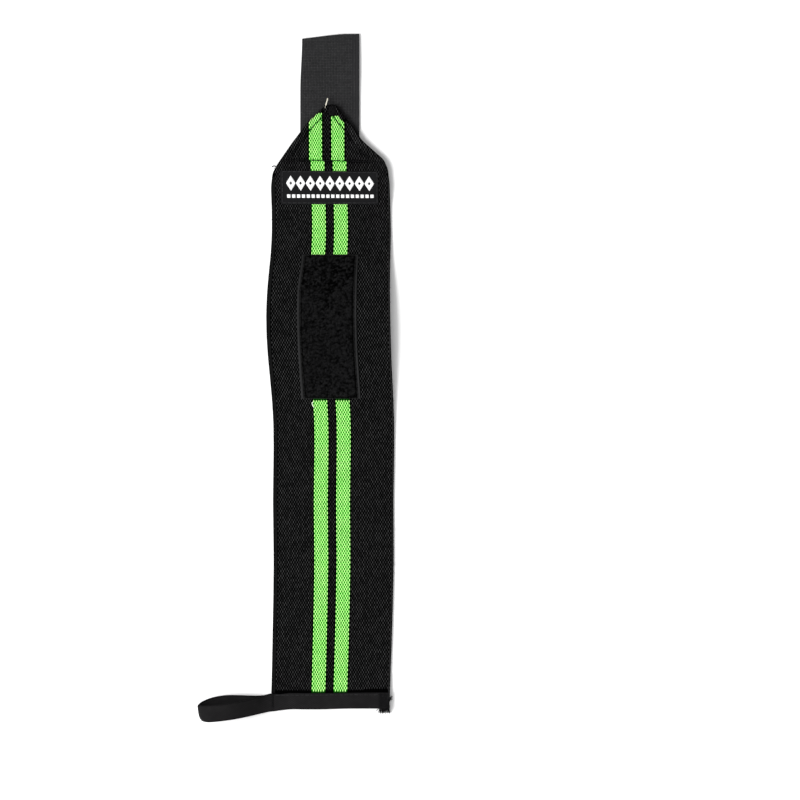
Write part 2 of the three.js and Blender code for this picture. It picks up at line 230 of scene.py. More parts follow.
class Course:
    """Where the band runs: its middle, its spread, its height and the edge of its point."""

    STEP = 0.25

    def __init__(self) -> None:
        """Softens the rows that the solids follow and lays out the edge of the point."""
        self.y = np.arange(-8.0, BAND_TIP + 12.0, self.STEP)
        place = (self.y - BAND_START) / BAND_LENGTH
        at, sway, spread, hump = BAND_COURSE.T
        soft = 3.0 / self.STEP
        self.centre = relax(BAND_WIDTH * np.interp(place, at, sway), soft)
        self.spread = relax(np.interp(place, at, spread), soft)
        under = (
            HUMP_HEIGHT * np.interp(place, at, hump)
            + TAPE_LIFT * ease((TAPE_WIDTH + TAPE_RAMP - self.y) / TAPE_RAMP)
            + STRAP_LIFT * ease((self.y - POINT_BASE + STRAP_RAMP) / STRAP_RAMP)
        )
        self.under = relax(under, soft)
        self._jog(at, sway, spread)
        self._lay_edge()

    def _jog(self, at: Points, sway: Points, spread: Points) -> None:
        """Shifts the stripes sideways at the seam across the point, where the band was sewn a little askew.

        Args:
            at: Shares of the band's length in its course.
            sway: Sways there.
            spread: Spreads there.
        """
        near = np.abs(self.y - SEAM_ACROSS) < 7
        share = past_seam(self.y[near])
        ends = (SEAM_ACROSS - 7 - BAND_START) / BAND_LENGTH, (SEAM_ACROSS + 7 - BAND_START) / BAND_LENGTH
        for column, values, size in ((self.centre, sway, BAND_WIDTH), (self.spread, spread, 1.0)):
            low, high = (size * np.interp(end, at, values) for end in ends)
            column[near] = low + (high - low) * share
        self.spread *= 1 - POINT_DRAW * past_seam(self.y)

    def _lay_edge(self) -> None:
        """Lays out the edge of the point, from the left shoulder round the tip to the right shoulder."""
        def side(table: Sequence[Pair], sign: int) -> list[Pair]:
            """One side of the point in plan."""
            return [(sign * out * BAND_WIDTH / 2, POINT_BASE + along * POINT_LENGTH) for along, out in table]

        low = SHOULDER - 14.0
        reach = BAND_WIDTH / 2 * self.at(self.spread, low)
        start, end = self.at(self.centre, low) - reach, self.at(self.centre, low) + reach
        corners = np.array([
            (start, low), *side(LEFT_POINT_EDGE, -1), (-POINT_TIP_WIDTH / 2, BAND_TIP),
            (POINT_TIP_WIDTH / 2, BAND_TIP), *side(RIGHT_POINT_EDGE, 1)[::-1], (end, low),
        ])
        run = np.concatenate([[0], np.cumsum(np.linalg.norm(np.diff(corners, axis=0), axis=1))])
        places = np.linspace(0, run[-1], int(run[-1] / 0.4))
        path = np.stack([np.interp(places, run, corners[:, i]) for i in (0, 1)], 1)
        self.edge = relax(path, 1.3 / 0.4)
        top = int(np.argmax(self.edge[:, 1]))
        self.edge[:, 1] += BAND_TIP - self.edge[top, 1]
        left, right = self.edge[: top + 1], self.edge[top:][::-1]
        half = BAND_WIDTH / 2 * self.spread
        self.left = self.centre - half
        self.right = self.centre + half
        point = self.y > SHOULDER - 10
        self.left[point] = np.interp(self.y[point], np.maximum.accumulate(left[:, 1]), left[:, 0])
        self.right[point] = np.interp(self.y[point], np.maximum.accumulate(right[:, 1]), right[:, 0])
        self.tip_x = float(self.edge[top, 0])

    def at(self, column: Points, y: Points | float) -> Points:
        """Value of a column at places along the band."""
        return np.interp(y, self.y, column)

    def x(self, across: Points, y: Points) -> Points:
        """Place of a warp thread, given by its distance from the middle of the flat band."""
        return self.at(self.centre, y) + across * self.at(self.spread, y)

    def top(self, y: Points) -> Points:
        """Height of the outer face away from the fold."""
        return self.at(self.under, y) + BAND_THICKNESS

    def inside(self, x: Points, y: Points) -> Points:
        """Distance in from the band's edge, negative outside it.

        Args:
            x: Places across.
            y: Places along, of the same shape.

        Returns:
            The distances, in plan.
        """
        x, y = np.broadcast_arrays(np.asarray(x, float), np.asarray(y, float))
        distance = np.minimum(x - self.at(self.left, y), self.at(self.right, y) - x)
        near = y > SHOULDER - 6
        if near.any():
            a, b = self.edge[:-1], self.edge[1:]
            run = b - a
            spots = np.stack([x[near], y[near]], 1)
            nearest = np.empty(len(spots))
            for i in range(0, len(spots), 20000):
                spot = spots[i : i + 20000, None]
                share = np.clip(((spot - a) * run).sum(2) / (run * run).sum(1), 0, 1)
                gap = spot - (a + share[..., None] * run)
                reach = np.hypot(gap[..., 0], gap[..., 1])
                best = reach.argmin(1)
                rows = np.arange(len(best))
                turn = gap[rows, best, 0] * run[best, 1] - gap[rows, best, 1] * run[best, 0]
                nearest[i : i + 20000] = reach[rows, best] * np.sign(turn)
            distance = distance.copy()
            distance[near] = nearest
        return distance

    def roll(self, y: Points) -> Points:
        """Radius of the rolled edge: half the cloth's thickness, and more where the corner folds under."""
        half = BAND_THICKNESS / 2
        return half + (FOLD_RADIUS - half) * ease((y - SHOULDER) / 7.0)

    def surface(self, x: Points, y: Points) -> Points:
        """Height of the outer face, over the rolled edge and down into the seams."""
        depth = np.clip(self.inside(x, y), 0, None)
        radius = self.roll(y)
        short = np.clip(radius - depth, 0, None)
        bow = self.top(y) - radius + np.sqrt(np.clip(radius**2 - short**2, 0, None))
        return bow - SEAM_PULL * self.pull(x, y, depth)

    def seam_across(self, x: Points) -> Points:
        """Where the seam across the point lies, at places across."""
        return SEAM_ACROSS - SEAM_SLANT * np.asarray(x)

    def pull(self, x: Points, y: Points, depth: Points) -> Points:
        """How far the point's three seams draw the outer face down.

        Args:
            x: Places across.
            y: Places along.
            depth: Distances in from the edge.

        Returns:
            The drop, as a share of its full depth.
        """
        across = np.exp(-(((y - self.seam_across(x)) / 0.75) ** 2)) * (depth > 1)
        across = across * (0.3 + 0.7 * ease((25.0 - np.abs(x - 1.0)) / 5.0))
        inset = np.where(x < -0.5, SEAM_INSETS[0], SEAM_INSETS[1])
        beside = np.exp(-(((depth - inset) / 0.6) ** 2)) * ease((y - SEAM_ACROSS) / 3)
        return np.maximum(across, beside)

    def inset_line(self, side: Side, inset: float, low: float) -> Points:
        """A line inside the point's edge.

        Args:
            side: Which edge.
            inset: Distance in from the edge.
            low: Where the line starts, along the band.

        Returns:
            Places on it, from the shoulder to the tip.
        """
        run = np.gradient(self.edge, axis=0)
        run /= np.linalg.norm(run, axis=1, keepdims=True)
        line = self.edge + inset * np.stack([run[:, 1], -run[:, 0]], 1)
        line = line[((line[:, 0] - self.tip_x) * side.value > -0.2) & (line[:, 1] > low)]
        return line if side is Side.LEFT else line[::-1]


COURSE = Course()


class Heap:
    """Closed meshes that are gathered into one piece, with the cloth's own coordinates at each point."""

    def __init__(self) -> None:
        """Starts empty."""
        self.points: list[Points] = []
        self.cloth: list[Points] = []
        self.tone: list[Points] = []
        self.faces: list[Points] = []
        self.count = 0

    def add(self, points: Points, faces: Points, cloth: Points, tone: Points | float = 0.5) -> None:
        """Adds closed meshes that share one winding.

        Args:
            points: Places in millimetres, one row each.
            faces: Rows of four point numbers, the last one -1 in a triangle.
            cloth: Rows of across, along and share of height; the share of height carries painted shade and
                light.
            tone: A shade from 0 to 1 for each point, or one for all.
        """
        a, b, c = (points[faces[:, i]] for i in (0, 1, 2))
        volume = np.einsum("ij,ij->", a, np.cross(b, c))
        quad = faces[:, 3] >= 0
        d = points[faces[quad, 3]]
        volume += np.einsum("ij,ij->", a[quad], np.cross(c[quad], d))
        faces = faces.copy()
        if volume < 0:
            faces[quad] = faces[quad][:, ::-1]
            faces[~quad, :3] = faces[~quad][:, 2::-1]
        faces[faces >= 0] += self.count
        self.points.append(points)
        self.faces.append(faces)
        self.cloth.append(cloth)
        self.tone.append(np.broadcast_to(np.asarray(tone, float), (len(points),)))
        self.count += len(points)

    def loft(self, rings: Points, cloth: Points, tone: Points | float = 0.5) -> None:
        """Joins closed rings into a solid. A ring runs over a face and back under it, with as many points.

        Args:
            rings: Places, as rings by points by three.
            cloth: Cloth coordinates of the same shape.
            tone: A shade for each point, or one for all.
        """
        count, size = rings.shape[:2]
        ring = np.arange(count - 1)[:, None] * size
        here, after = np.arange(size)[None], np.roll(np.arange(size), -1)[None]
        corners = ring + here, ring + after, ring + size + after, ring + size + here
        sides = np.stack(corners, -1).reshape(-1, 4)
        i = np.arange(size // 2 - 1)
        cap = np.stack([i, size - 1 - i, size - 2 - i, i + 1], 1)
        far = cap[:, ::-1] + (count - 1) * size
        self.add(rings.reshape(-1, 3), np.concatenate([sides, cap, far]), cloth.reshape(-1, 3), tone)

    def piece(self, name: str, finish: "Finish") -> Piece:
        """Makes the piece, in the row frame, in metres, riding on the wrap's one body.

        Args:
            name: The piece's name.
            finish: What it is made of.

        Returns:
            The new object.
        """
        points = (np.concatenate(self.points) + ORIGIN) * MM
        faces = np.concatenate(self.faces)
        quad = faces[:, 3] >= 0
        sizes = np.where(quad, 4, 3)
        corners = faces.reshape(-1)
        corners = corners[corners >= 0]
        mesh = bpy.data.meshes.new(name)
        mesh.vertices.add(len(points))
        mesh.vertices.foreach_set("co", points.astype(np.float32).ravel())
        mesh.loops.add(len(corners))
        mesh.loops.foreach_set("vertex_index", corners.astype(np.int32))
        mesh.polygons.add(len(faces))
        mesh.polygons.foreach_set("loop_start", np.concatenate([[0], np.cumsum(sizes)[:-1]]).astype(np.int32))
        mesh.update(calc_edges=True)
        mesh.shade_smooth()
        cloth = mesh.attributes.new("cloth", "FLOAT_VECTOR", "POINT")
        cloth.data.foreach_set("vector", np.concatenate(self.cloth).astype(np.float32).ravel())
        tone = mesh.attributes.new("tone", "FLOAT", "POINT")
        tone.data.foreach_set("value", np.concatenate(self.tone).astype(np.float32))
        mesh.materials.append(finish.material())
        piece = bpy.data.objects.new(name, mesh)
        bpy.context.scene.collection.objects.link(piece)
        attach(piece, "root")
        log.info("%s: %d triangles", name, int((sizes - 2).sum()))
        return piece


def row_origin() -> Points:
    """Place of the layout's origin in the row frame, read off the solids.

    Returns:
        Its coordinates in millimetres.
    """
    band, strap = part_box("elastic_band"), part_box("hook_strap")
    middle = (strap[0].x + strap[1].x) / 2 / MM
    return np.array([middle - STRAP_OFFSET, band[0].y / MM - BAND_START, band[0].z / MM])


ORIGIN = row_origin()


@dataclass(frozen=True)
class Grain:
    """A small closed pillow, as a warp thread shows where it floats over the weft.

    Attributes:
        sides: Points round its section.
        stations: Places along it from -0.5 to 0.5, each with a share of the full section.
    """

    sides: int
    stations: tuple[Pair, ...]

    def shape(self) -> tuple[Points, Points]:
        """Works out the pillow.

        Returns:
            Its points as shares of width, length and height, and its faces.
        """
        turn = 2 * math.pi * (np.arange(self.sides) + 0.5 * (self.sides % 2)) / self.sides
        points = [(0.0, -0.5, -0.1)]
        for along, full in self.stations:
            points += [(0.5 * math.cos(t) * full, along, max(math.sin(t), -0.6) * full) for t in turn]
        points.append((0.0, 0.5, -0.1))
        faces = []
        count = self.sides
        last = len(points) - 1
        for j in range(count):
            k = (j + 1) % count
            faces.append((0, 1 + k, 1 + j, -1))
            for s in range(len(self.stations) - 1):
                a, b = 1 + s * count, 1 + (s + 1) * count
                faces.append((a + j, a + k, b + k, b + j))
            a = 1 + (len(self.stations) - 1) * count
            faces.append((a + j, a + k, last, -1))
        return np.array(points), np.array(faces)


OUTER_GRAIN = Grain(4, ((-0.27, 0.86), (0.27, 0.86)))
FINE_GRAIN = Grain(5, ((-0.32, 0.78), (0.0, 1.0), (0.32, 0.78)))
INNER_GRAIN = Grain(3, ((-0.25, 0.9), (0.25, 0.9)))
SQUARE_GRAIN = Grain(4, ((-0.3, 0.9), (0.3, 0.9)))


def lay_grains(heap: Heap, grain: Grain, spots: Points, size: tuple[float, float, float],
               place: Callable[[Points, Points, Points], Points], spread: float, rng: Rng,
               dim: float = 0.0, shadow: float = 0.0) -> None:
    """Lays one pillow at each spot of a cloth.

    Args:
        heap: Takes the pillows.
        grain: The pillow.
        spots: Rows of across and along, in millimetres on the flat cloth.
        size: Width, length and height of a pillow.
        place: Gives places from across, along and height.
        spread: How far the pillows differ in place, as a share of their size.
        rng: Random source.
        dim: How far the pillows lie in the dark where the point's seams draw them down.
        shadow: How far they lie in the dark beside the narrow tape's raised edge.
    """
    shape, faces = grain.shape()
    count = len(spots)
    wander = rng.normal(0, spread, (count, 3))
    tone = rng.random(count)
    across = spots[:, :1] + size[0] * (shape[:, 0] * (1 + 0.6 * wander[:, :1]) + 0.5 * wander[:, 1:2])
    along = spots[:, 1:2] + size[1] * (shape[:, 1] * (1 + wander[:, 2:3]) + 0.5 * wander[:, :1])
    height = size[2] * shape[:, 2] * (1 + wander[:, 1:2])
    points = place(across.ravel(), along.ravel(), height.ravel())
    shift = (np.arange(count) * len(shape))[:, None, None]
    many = np.where(faces >= 0, faces + shift, -1).reshape(-1, 4)
    share = np.broadcast_to(0.5 + 0.5 * shape[:, 2], across.shape).ravel()
    if dim:
        # Painted shade in the point's seams and beside the tape's raised edge, and painted light beside the
        # right stripe at the point.
        x, y = points[:, 0], points[:, 1]
        share = share * (1 - dim * COURSE.pull(x, y, COURSE.inside(x, y)))
        share = share * (1 - shadow * beside_tape(x, y))
        share = share + 0.5 * painted_light_at_point(x, y) * (1 - share)
    heap.add(points, many, np.stack([across.ravel(), along.ravel(), share], 1), np.repeat(tone, len(shape)))


class Rows:
    """Closed rings across a cloth, one for each place along it."""

    def __init__(self) -> None:
        """Starts empty."""
        self.rings: list[Points] = []
        self.cloth: list[Points] = []

    def add(self, place: Sequence[Points | float], cloth: Sequence[Points | float]) -> None:
        """Adds a ring.

        Args:
            place: Its x, y and z.
            cloth: Its across, along and share of height.
        """
        self.rings.append(np.stack(np.broadcast_arrays(*place), 1))
        self.cloth.append(np.stack(np.broadcast_arrays(*cloth), 1))

    def fill(self, heap: Heap) -> Heap:
        """Joins the rings into a solid and gives back the heap that takes it."""
        heap.loft(np.stack(self.rings), np.stack(self.cloth))
        return heap


def section(half: float, rim: float, count: int) -> Points:
    """Places across a tape, closer together at its two rims.

    Args:
        half: Half of its width.
        rim: Width of each rounded rim.
        count: Number of places in the flat part.

    Returns:
        The places from left to right.
    """
    bow = rim * (1 - np.cos(np.linspace(0, math.pi / 2, 5)[:-1]))
    flat = np.linspace(-half + rim, half - rim, count)
    return np.concatenate([-half + bow, flat, (half - bow)[::-1]])


def rounding(across: Points, half: float, rim: float, least: float = 0.15) -> Points:
    """Share of a tape's half thickness left at places near its rims."""
    past = np.clip((np.abs(across) - (half - rim)) / rim, 0, 1)
    return np.maximum(np.sqrt(1 - past**2), least)


def ribbon(across: Points, low: Points, high: Points) -> tuple[Points, Points]:
    """A ring over a tape's face and back under it.

    Args:
        across: Places across.
        low: Heights of the underside there.
        high: Heights of the face there.

    Returns:
        Places across and heights round the ring.
    """
    return np.concatenate([across, across[::-1]], -1), np.concatenate([high, low[::-1]], -1)


def stitch(heap: Heap, ends: Points, ups: Points, radius: float, rng: Rng,
           rise: float = 0.8) -> None:
    """Adds short arched threads.

    Args:
        heap: Takes the threads.
        ends: Places where they leave and enter the cloth, as threads by two by three.
        ups: The cloth's outward direction at each thread.
        radius: The thread's radius.
        rng: Random source.
        rise: Height of the arch above the cloth, in radii.
    """
    sides, shares = 6, np.array([-0.06, 0.0, 0.12, 0.35, 0.65, 0.88, 1.0, 1.06])
    lifts = np.array([-1.6, -0.7, 0.35, 1.0, 1.0, 0.35, -0.7, -1.6]) * rise * radius
    girth = np.array([0.55, 0.9, 1.0, 1.05, 1.05, 1.0, 0.9, 0.55]) * radius
    run = ends[:, 1] - ends[:, 0]
    length = np.linalg.norm(run, axis=1, keepdims=True)
    along = run / length
    side = np.cross(along, ups)
    side /= np.linalg.norm(side, axis=1, keepdims=True)
    tone = rng.random(len(ends))
    middle = ends[:, 0, None] + run[:, None] * shares[:, None] + ups[:, None] * lifts[:, None]
    turn = 2 * math.pi * np.arange(sides) / sides
    ring = side[:, None, None] * np.cos(turn)[:, None] + ups[:, None, None] * np.sin(turn)[:, None]
    rings = middle[:, :, None] + ring * girth[:, None, None]
    size = len(shares) * sides
    for i, thread in enumerate(rings):
        cloth = np.stack(np.broadcast_arrays(
            np.sin(turn)[None] * radius, (shares * length[i])[:, None], 0.5 + 0.5 * np.sin(turn)[None]), -1)
        heap.loft(thread, cloth, np.full(size, tone[i]))


def lay_seam(heap: Heap, line: Points, face: Callable[[Points, Points], Points], rng: Rng,
             length: float = 2.4, gap: float = 0.55, radius: float = 0.17, rise: float = 0.8) -> None:
    """Sews a row of stitches along a line on a cloth.

    Args:
        heap: Takes the threads.
        line: Places across and along that the seam passes.
        face: Height of the cloth at places across and along.
        rng: Random source.
        length: Length of a stitch.
        gap: Gap to the next one.
        radius: The thread's radius.
        rise: Height of a stitch's arch, in radii.
    """
    line = np.asarray(line, float)
    run = np.concatenate([[0], np.cumsum(np.hypot(*np.diff(line, axis=0).T))])
    count = max(int(run[-1] / (length + gap)), 1)
    pitch = run[-1] / count
    starts = (np.arange(count) + 0.5 * gap / (length + gap)) * pitch + rng.normal(0, 0.06, count)
    along = np.stack([starts, starts + pitch * length / (length + gap)], 1)
    x, y = (np.interp(along, run, line[:, i]) + rng.normal(0, 0.05, along.shape) for i in (0, 1))
    ends = np.stack([x, y, face(x, y) + 0.4 * radius], -1)
    stitch(heap, ends, np.tile([0.0, 0.0, 1.0], (count, 1)), radius, rng, rise)


def strand(heap: Heap, knots: Points, radius: float, rng: Rng, taper: float = 0.5,
           sides: int = 6) -> None:
    """Adds a loose thread.

    Args:
        heap: Takes the thread.
        knots: Places that it passes.
        radius: Its radius at its start.
        rng: Random source.
        taper: Share of the radius that is left at its end.
        sides: Points round its section, an even number.
    """
    line = smooth_curve(np.asarray(knots, float), 5)
    along = np.gradient(line, axis=0)
    along /= np.linalg.norm(along, axis=1, keepdims=True)
    side = np.cross(along, np.array([0.21, 0.13, 0.97]))
    side /= np.linalg.norm(side, axis=1, keepdims=True)
    up = np.cross(side, along)
    turn = 2 * math.pi * np.arange(sides) / sides
    girth = radius * np.interp(np.linspace(0, 1, len(line)), [0, 0.7, 1], [1, 0.5 + 0.5 * taper, taper])
    ring = side[:, None] * np.cos(turn)[:, None] + up[:, None] * np.sin(turn)[:, None]
    rings = line[:, None] + ring * girth[:, None, None]
    run = np.concatenate([[0], np.cumsum(np.linalg.norm(np.diff(line, axis=0), axis=1))])
    share = 0.75 + 0.25 * np.sin(turn)[None]
    cloth = np.stack(np.broadcast_arrays(radius * np.sin(turn)[None], run[:, None], share), -1)
    heap.loft(rings, cloth, np.full(rings.shape[0] * sides, rng.random()))


class Pattern:
    """A shader socket that takes part in plain expressions on values."""

    def __init__(self, dye: "Dye", socket: Socket) -> None:
        """Keeps the material that the socket belongs to, and the socket."""
        self.dye = dye
        self.socket = socket

    def _math(self, operation: str, *values: "Pattern | float") -> "Pattern":
        """A Math node on this socket or on the values given."""
        node = self.dye.node("ShaderNodeMath", {"operation": operation}, dict(enumerate(values)))
        return Pattern(self.dye, node.outputs[0])

    def __add__(self, other: "Pattern | float") -> "Pattern":
        """Sum."""
        return self._math("ADD", self, other)

    def __sub__(self, other: "Pattern | float") -> "Pattern":
        """Difference."""
        return self._math("SUBTRACT", self, other)

    def __rsub__(self, other: float) -> "Pattern":
        """Difference from a number."""
        return self._math("SUBTRACT", other, self)

    def __mul__(self, other: "Pattern | float") -> "Pattern":
        """Product."""
        return self._math("MULTIPLY", self, other)

    __radd__ = __add__
    __rmul__ = __mul__

    def sine(self) -> "Pattern":
        """Sine, in radians."""
        return self._math("SINE", self)

    def clamp(self) -> "Pattern":
        """Value held between 0 and 1."""
        node = self.dye.node("ShaderNodeClamp", {}, {"Value": self})
        return Pattern(self.dye, node.outputs[0])

    def ramp(self, low: float, high: float) -> "Pattern":
        """Smooth rise from 0 at one value to 1 at another."""
        sockets = {"Value": self, "From Min": low, "From Max": high}
        node = self.dye.node("ShaderNodeMapRange", {"interpolation_type": "SMOOTHSTEP"}, sockets)
        return Pattern(self.dye, node.outputs[0])


class Dye:
    """One material's nodes, with its Principled shader."""

    def __init__(self, name: str) -> None:
        """Makes the material, empty but for its shader and output."""
        self.material = bpy.data.materials.new(name)
        self.material.use_nodes = True
        self.tree = self.material.node_tree
        self.tree.nodes.clear()
        self.shader = self.node("ShaderNodeBsdfPrincipled", {}, {})
        self.node("ShaderNodeOutputMaterial", {}, {"Surface": self.shader.outputs[0]})

    def node(self, kind: str, settings: Mapping[str, object],
             sockets: Mapping[str | int, object]) -> bpy.types.Node:
        """Adds a node.

        Args:
            kind: The node's type.
            settings: Its properties, set first.
            sockets: A value or a link for each input named.

        Returns:
            The node.
        """
        node = self.tree.nodes.new(kind)
        for name, value in settings.items():
            setattr(node, name, value)
        for name, value in sockets.items():
            if isinstance(value, Pattern):
                value = value.socket
            if isinstance(value, Socket):
                self.tree.links.new(value, node.inputs[name])
            else:
                node.inputs[name].default_value = value
        return node

    def feed(self, **sockets: object) -> None:
        """Sets or links the shader's sockets, named with underscores for spaces."""
        for name, value in sockets.items():
            socket = self.shader.inputs[name.replace("_", " ").title().replace("Ior", "IOR")]
            if isinstance(value, Pattern):
                value = value.socket
            if isinstance(value, Socket):
                self.tree.links.new(value, socket)
            else:
                socket.default_value = value

    def cloth(self) -> tuple[Pattern, Pattern, Pattern]:
        """Across, along and share of height on the cloth, in millimetres."""
        told = self.node("ShaderNodeAttribute", {"attribute_name": "cloth"}, {})
        split = self.node("ShaderNodeSeparateXYZ", {}, {0: told.outputs["Vector"]})
        return tuple(Pattern(self, split.outputs[i]) for i in range(3))

    def tone(self) -> Pattern:
        """The shade that each thread was given."""
        told = self.node("ShaderNodeAttribute", {"attribute_name": "tone"}, {})
        return Pattern(self, told.outputs["Fac"])

    def noise(self, scale: float, detail: float = 3.0,
              stretch: tuple[float, float, float] = (1, 1, 1)) -> Pattern:
        """Soft noise over the object.

        Args:
            scale: Blotches to a millimetre.
            detail: Finer octaves.
            stretch: How much finer the noise is along each axis.

        Returns:
            Values about 0.5.
        """
        told = self.node("ShaderNodeTexCoord", {}, {})
        inputs = {0: told.outputs["Object"], 1: stretch}
        grown = self.node("ShaderNodeVectorMath", {"operation": "MULTIPLY"}, inputs)
        sockets = {"Vector": grown.outputs[0], "Scale": scale / MM, "Detail": detail}
        return Pattern(self, self.node("ShaderNodeTexNoise", {}, sockets).outputs["Fac"])

    def mix(self, share: Pattern, low: object, high: object) -> Socket:
        """A colour between two others."""
        def full(colour: object) -> object:
            """Gives a plain colour its alpha."""
            return (*colour, 1.0) if isinstance(colour, tuple) else colour

        node = self.node("ShaderNodeMix", {"data_type": "RGBA"}, {0: share, 6: full(low), 7: full(high)})
        return node.outputs[2]

    def bump(self, height: Pattern, depth: float, before: Socket | None = None) -> Socket:
        """Relief from a height.

        Args:
            height: The height, from 0 to 1.
            depth: Its full depth in millimetres.
            before: Relief that it adds to.

        Returns:
            The normal.
        """
        sockets = {"Height": height, "Distance": depth * MM, "Strength": 1.0}
        if before is not None:
            sockets["Normal"] = before
        return self.node("ShaderNodeBump", {}, sockets).outputs[0]


class Finish:
    """What a piece is made of. Each finish makes its material once."""

    made: dict[str, bpy.types.Material] = {}
    name: str
    slot: str

    def material(self) -> bpy.types.Material:
        """The material, made when it is first asked for."""
        if self.name not in Finish.made:
            dye = Dye(self.name)
            self.dye(dye)
            Finish.made[self.name] = dye.material
        return Finish.made[self.name]

    def dye(self, dye: Dye) -> None:
        """Adds the finish's nodes."""
        raise NotImplementedError


@dataclass(frozen=True)
class Yarn(Finish):
    """Threads that show one by one: fine fibres along them, with painted shade where they dip and painted
    light on their crowns.

    Attributes:
        name: The material's name.
        slot: The record's slot; not used.
        light: Colour on the crown of a thread, with its painted light.
        deep: Colour where it dips, a painted shade.
        roughness: Least roughness.
        gloss: Strength of its highlights.
        vary: How far threads differ in shade.
        fibre: Depth of the fibre lines, in millimetres.
        crown: Share of height above which a thread turns to the painted light of its crown.
        streak: How much finer the blotches of shade are along each axis.
    """

    name: str
    slot: str
    light: Colour
    deep: Colour
    roughness: float = 0.6
    gloss: float = 0.08
    vary: float = 0.4
    fibre: float = 0.03
    crown: float = 0.35
    streak: tuple[float, float, float] = (1.0, 1.0, 1.0)

    def dye(self, dye: Dye) -> None:
        """Mixes the two colours by height, which paints shade in the dips and light on the crowns, and by
        each thread's tone, and runs fibres along the thread.
        """
        across, along, height = dye.cloth()
        cloud = dye.noise(0.12, 2.0, self.streak)
        fuzz = dye.noise(3.0, 4.0)
        shade = (height.ramp(self.crown, 0.95) * (1 - self.vary * dye.tone()) * (0.7 + 0.6 * cloud)).clamp()
        fibres = (across * 42.0 + along * 5.0 + fuzz * 4.0).sine() * 0.5 + 0.5
        dye.feed(
            base_color=dye.mix(shade, self.deep, self.light),
            roughness=(self.roughness + 0.25 * fuzz).clamp(),
            normal=dye.bump(fibres * 0.6 + fuzz * 0.8, self.fibre), specular_ior_level=self.gloss,
        )


@dataclass(frozen=True)
class Cloth(Finish):
    """Close cloth between or under its threads, with a fine weave in relief.

    Attributes:
        name: The material's name.
        slot: The record's slot; not used.
        light: Colour on the threads.
        deep: Colour between them.
        pitch: Threads to a millimetre, across and along.
        slant: How far the weave slants.
        relief: Depth of the weave in millimetres.
        roughness: Least roughness.
        gloss: Strength of its highlights.
    """

    name: str
    slot: str
    light: Colour
    deep: Colour
    pitch: Pair = (1.3, 0.75)
    slant: float = 0.0
    relief: float = 0.12
    roughness: float = 0.7
    gloss: float = 0.05

    def dye(self, dye: Dye) -> None:
        """Weaves two sets of threads over each other in colour and relief, and darkens the cloth where its
        share of height is low, which paints shade.
        """
        across, along, height = dye.cloth()
        fuzz = dye.noise(2.5, 4.0)
        cloud = dye.noise(0.08, 3.0)
        turn = 2 * math.pi
        warp = (across * (turn * self.pitch[0]) + along * (turn * self.slant)).sine()
        weft = (along * (turn * self.pitch[1])).sine()
        weave = (0.5 + 0.5 * (warp * weft)).clamp()
        shade = (weave * 0.7 + fuzz * 0.3) * (0.6 + 0.8 * cloud) * (0.1 + 0.9 * height)
        dye.feed(
            base_color=dye.mix(shade.clamp(), self.deep, self.light),
            roughness=(self.roughness + 0.25 * fuzz).clamp(),
            normal=dye.bump(fuzz, 0.03, dye.bump(weave, self.relief)), specular_ior_level=self.gloss,
        )


@dataclass(frozen=True)
class Table(Finish):
    """The pale surface that the wrap lies on."""

    name: str = "pale_table"
    slot: str = ""

    def dye(self, dye: Dye) -> None:
        """A white matt surface with hardly any grain."""
        grain = dye.noise(0.02, 2.0)
        dye.feed(
            base_color=dye.mix(grain, (0.85, 0.85, 0.85), (0.88, 0.88, 0.88)),
            roughness=0.85 + 0.1 * grain, specular_ior_level=0.1,
        )


# The grounds show between the floats and are darker than the floats' yarn, with hardly any gloss: painted
# shade in the gaps, over the weave's own colour.
BAND_GROUND = Cloth(
    "band_ground", "band_weave", (0.001, 0.001, 0.0011), (0.0003, 0.0003, 0.0003), (1.29, 0.37),
    relief=0.25, gloss=0.003)
BAND_YARN = Yarn(
    "band_yarn", "band_weave", (0.0545, 0.0545, 0.055), (0.0002, 0.0002, 0.0002),
    roughness=0.5, gloss=0.006, vary=0.62, crown=0.42)
GREEN_GROUND = Cloth(
    "green_ground", "stripe_yarn", (0.009, 0.32, 0.005), (0.0005, 0.012, 0.0004), (1.29, 0.37),
    relief=0.2, gloss=0.02)
GREEN_YARN = Yarn(
    "green_yarn", "stripe_yarn", (0.57, 1.0, 0.32), (0.018, 0.8, 0.008),
    roughness=0.6, gloss=0.08, vary=0.1, crown=0.26)
PALE_THREAD = Yarn(
    "pale_thread", "stripe_yarn", (0.85, 1.0, 0.75), (0.5, 0.85, 0.4),
    roughness=0.6, gloss=0.08, vary=0.1)
HOOK_CLOTH = Cloth(
    "hook_cloth", "hook_tape", (0.03, 0.03, 0.0315), (0.008, 0.008, 0.0085), (1.1, 1.1),
    relief=0.1, gloss=0.03)
HOOK_YARN = Yarn(
    "hook_yarn", "hook_tape", (0.048, 0.048, 0.049), (0.004, 0.004, 0.0042),
    roughness=0.5, gloss=0.03, vary=0.4, streak=(0.5, 5.0, 1.0))
CREAM_THREAD = Yarn(
    "cream_thread", "hook_tape", (0.8, 0.76, 0.64), (0.5, 0.46, 0.38),
    roughness=0.6, gloss=0.1, vary=0.2)
PATCH_CLOTH = Cloth(
    "patch_cloth", "loop_pile", (0.034, 0.034, 0.035), (0.008, 0.008, 0.008), (2.2, 1.4),
    relief=0.08, gloss=0.02)
PILE_YARN = Yarn(
    "pile_yarn", "loop_pile", (0.012, 0.012, 0.0124), (0.0003, 0.0003, 0.0003),
    roughness=0.7, gloss=0.01, vary=0.75)
LABEL_CLOTH = Cloth(
    "label_cloth", "label_satin", (0.0098, 0.0098, 0.0105), (0.004, 0.004, 0.0045), (0.3, 2.6),
    relief=0.06, roughness=0.42, gloss=0.03)
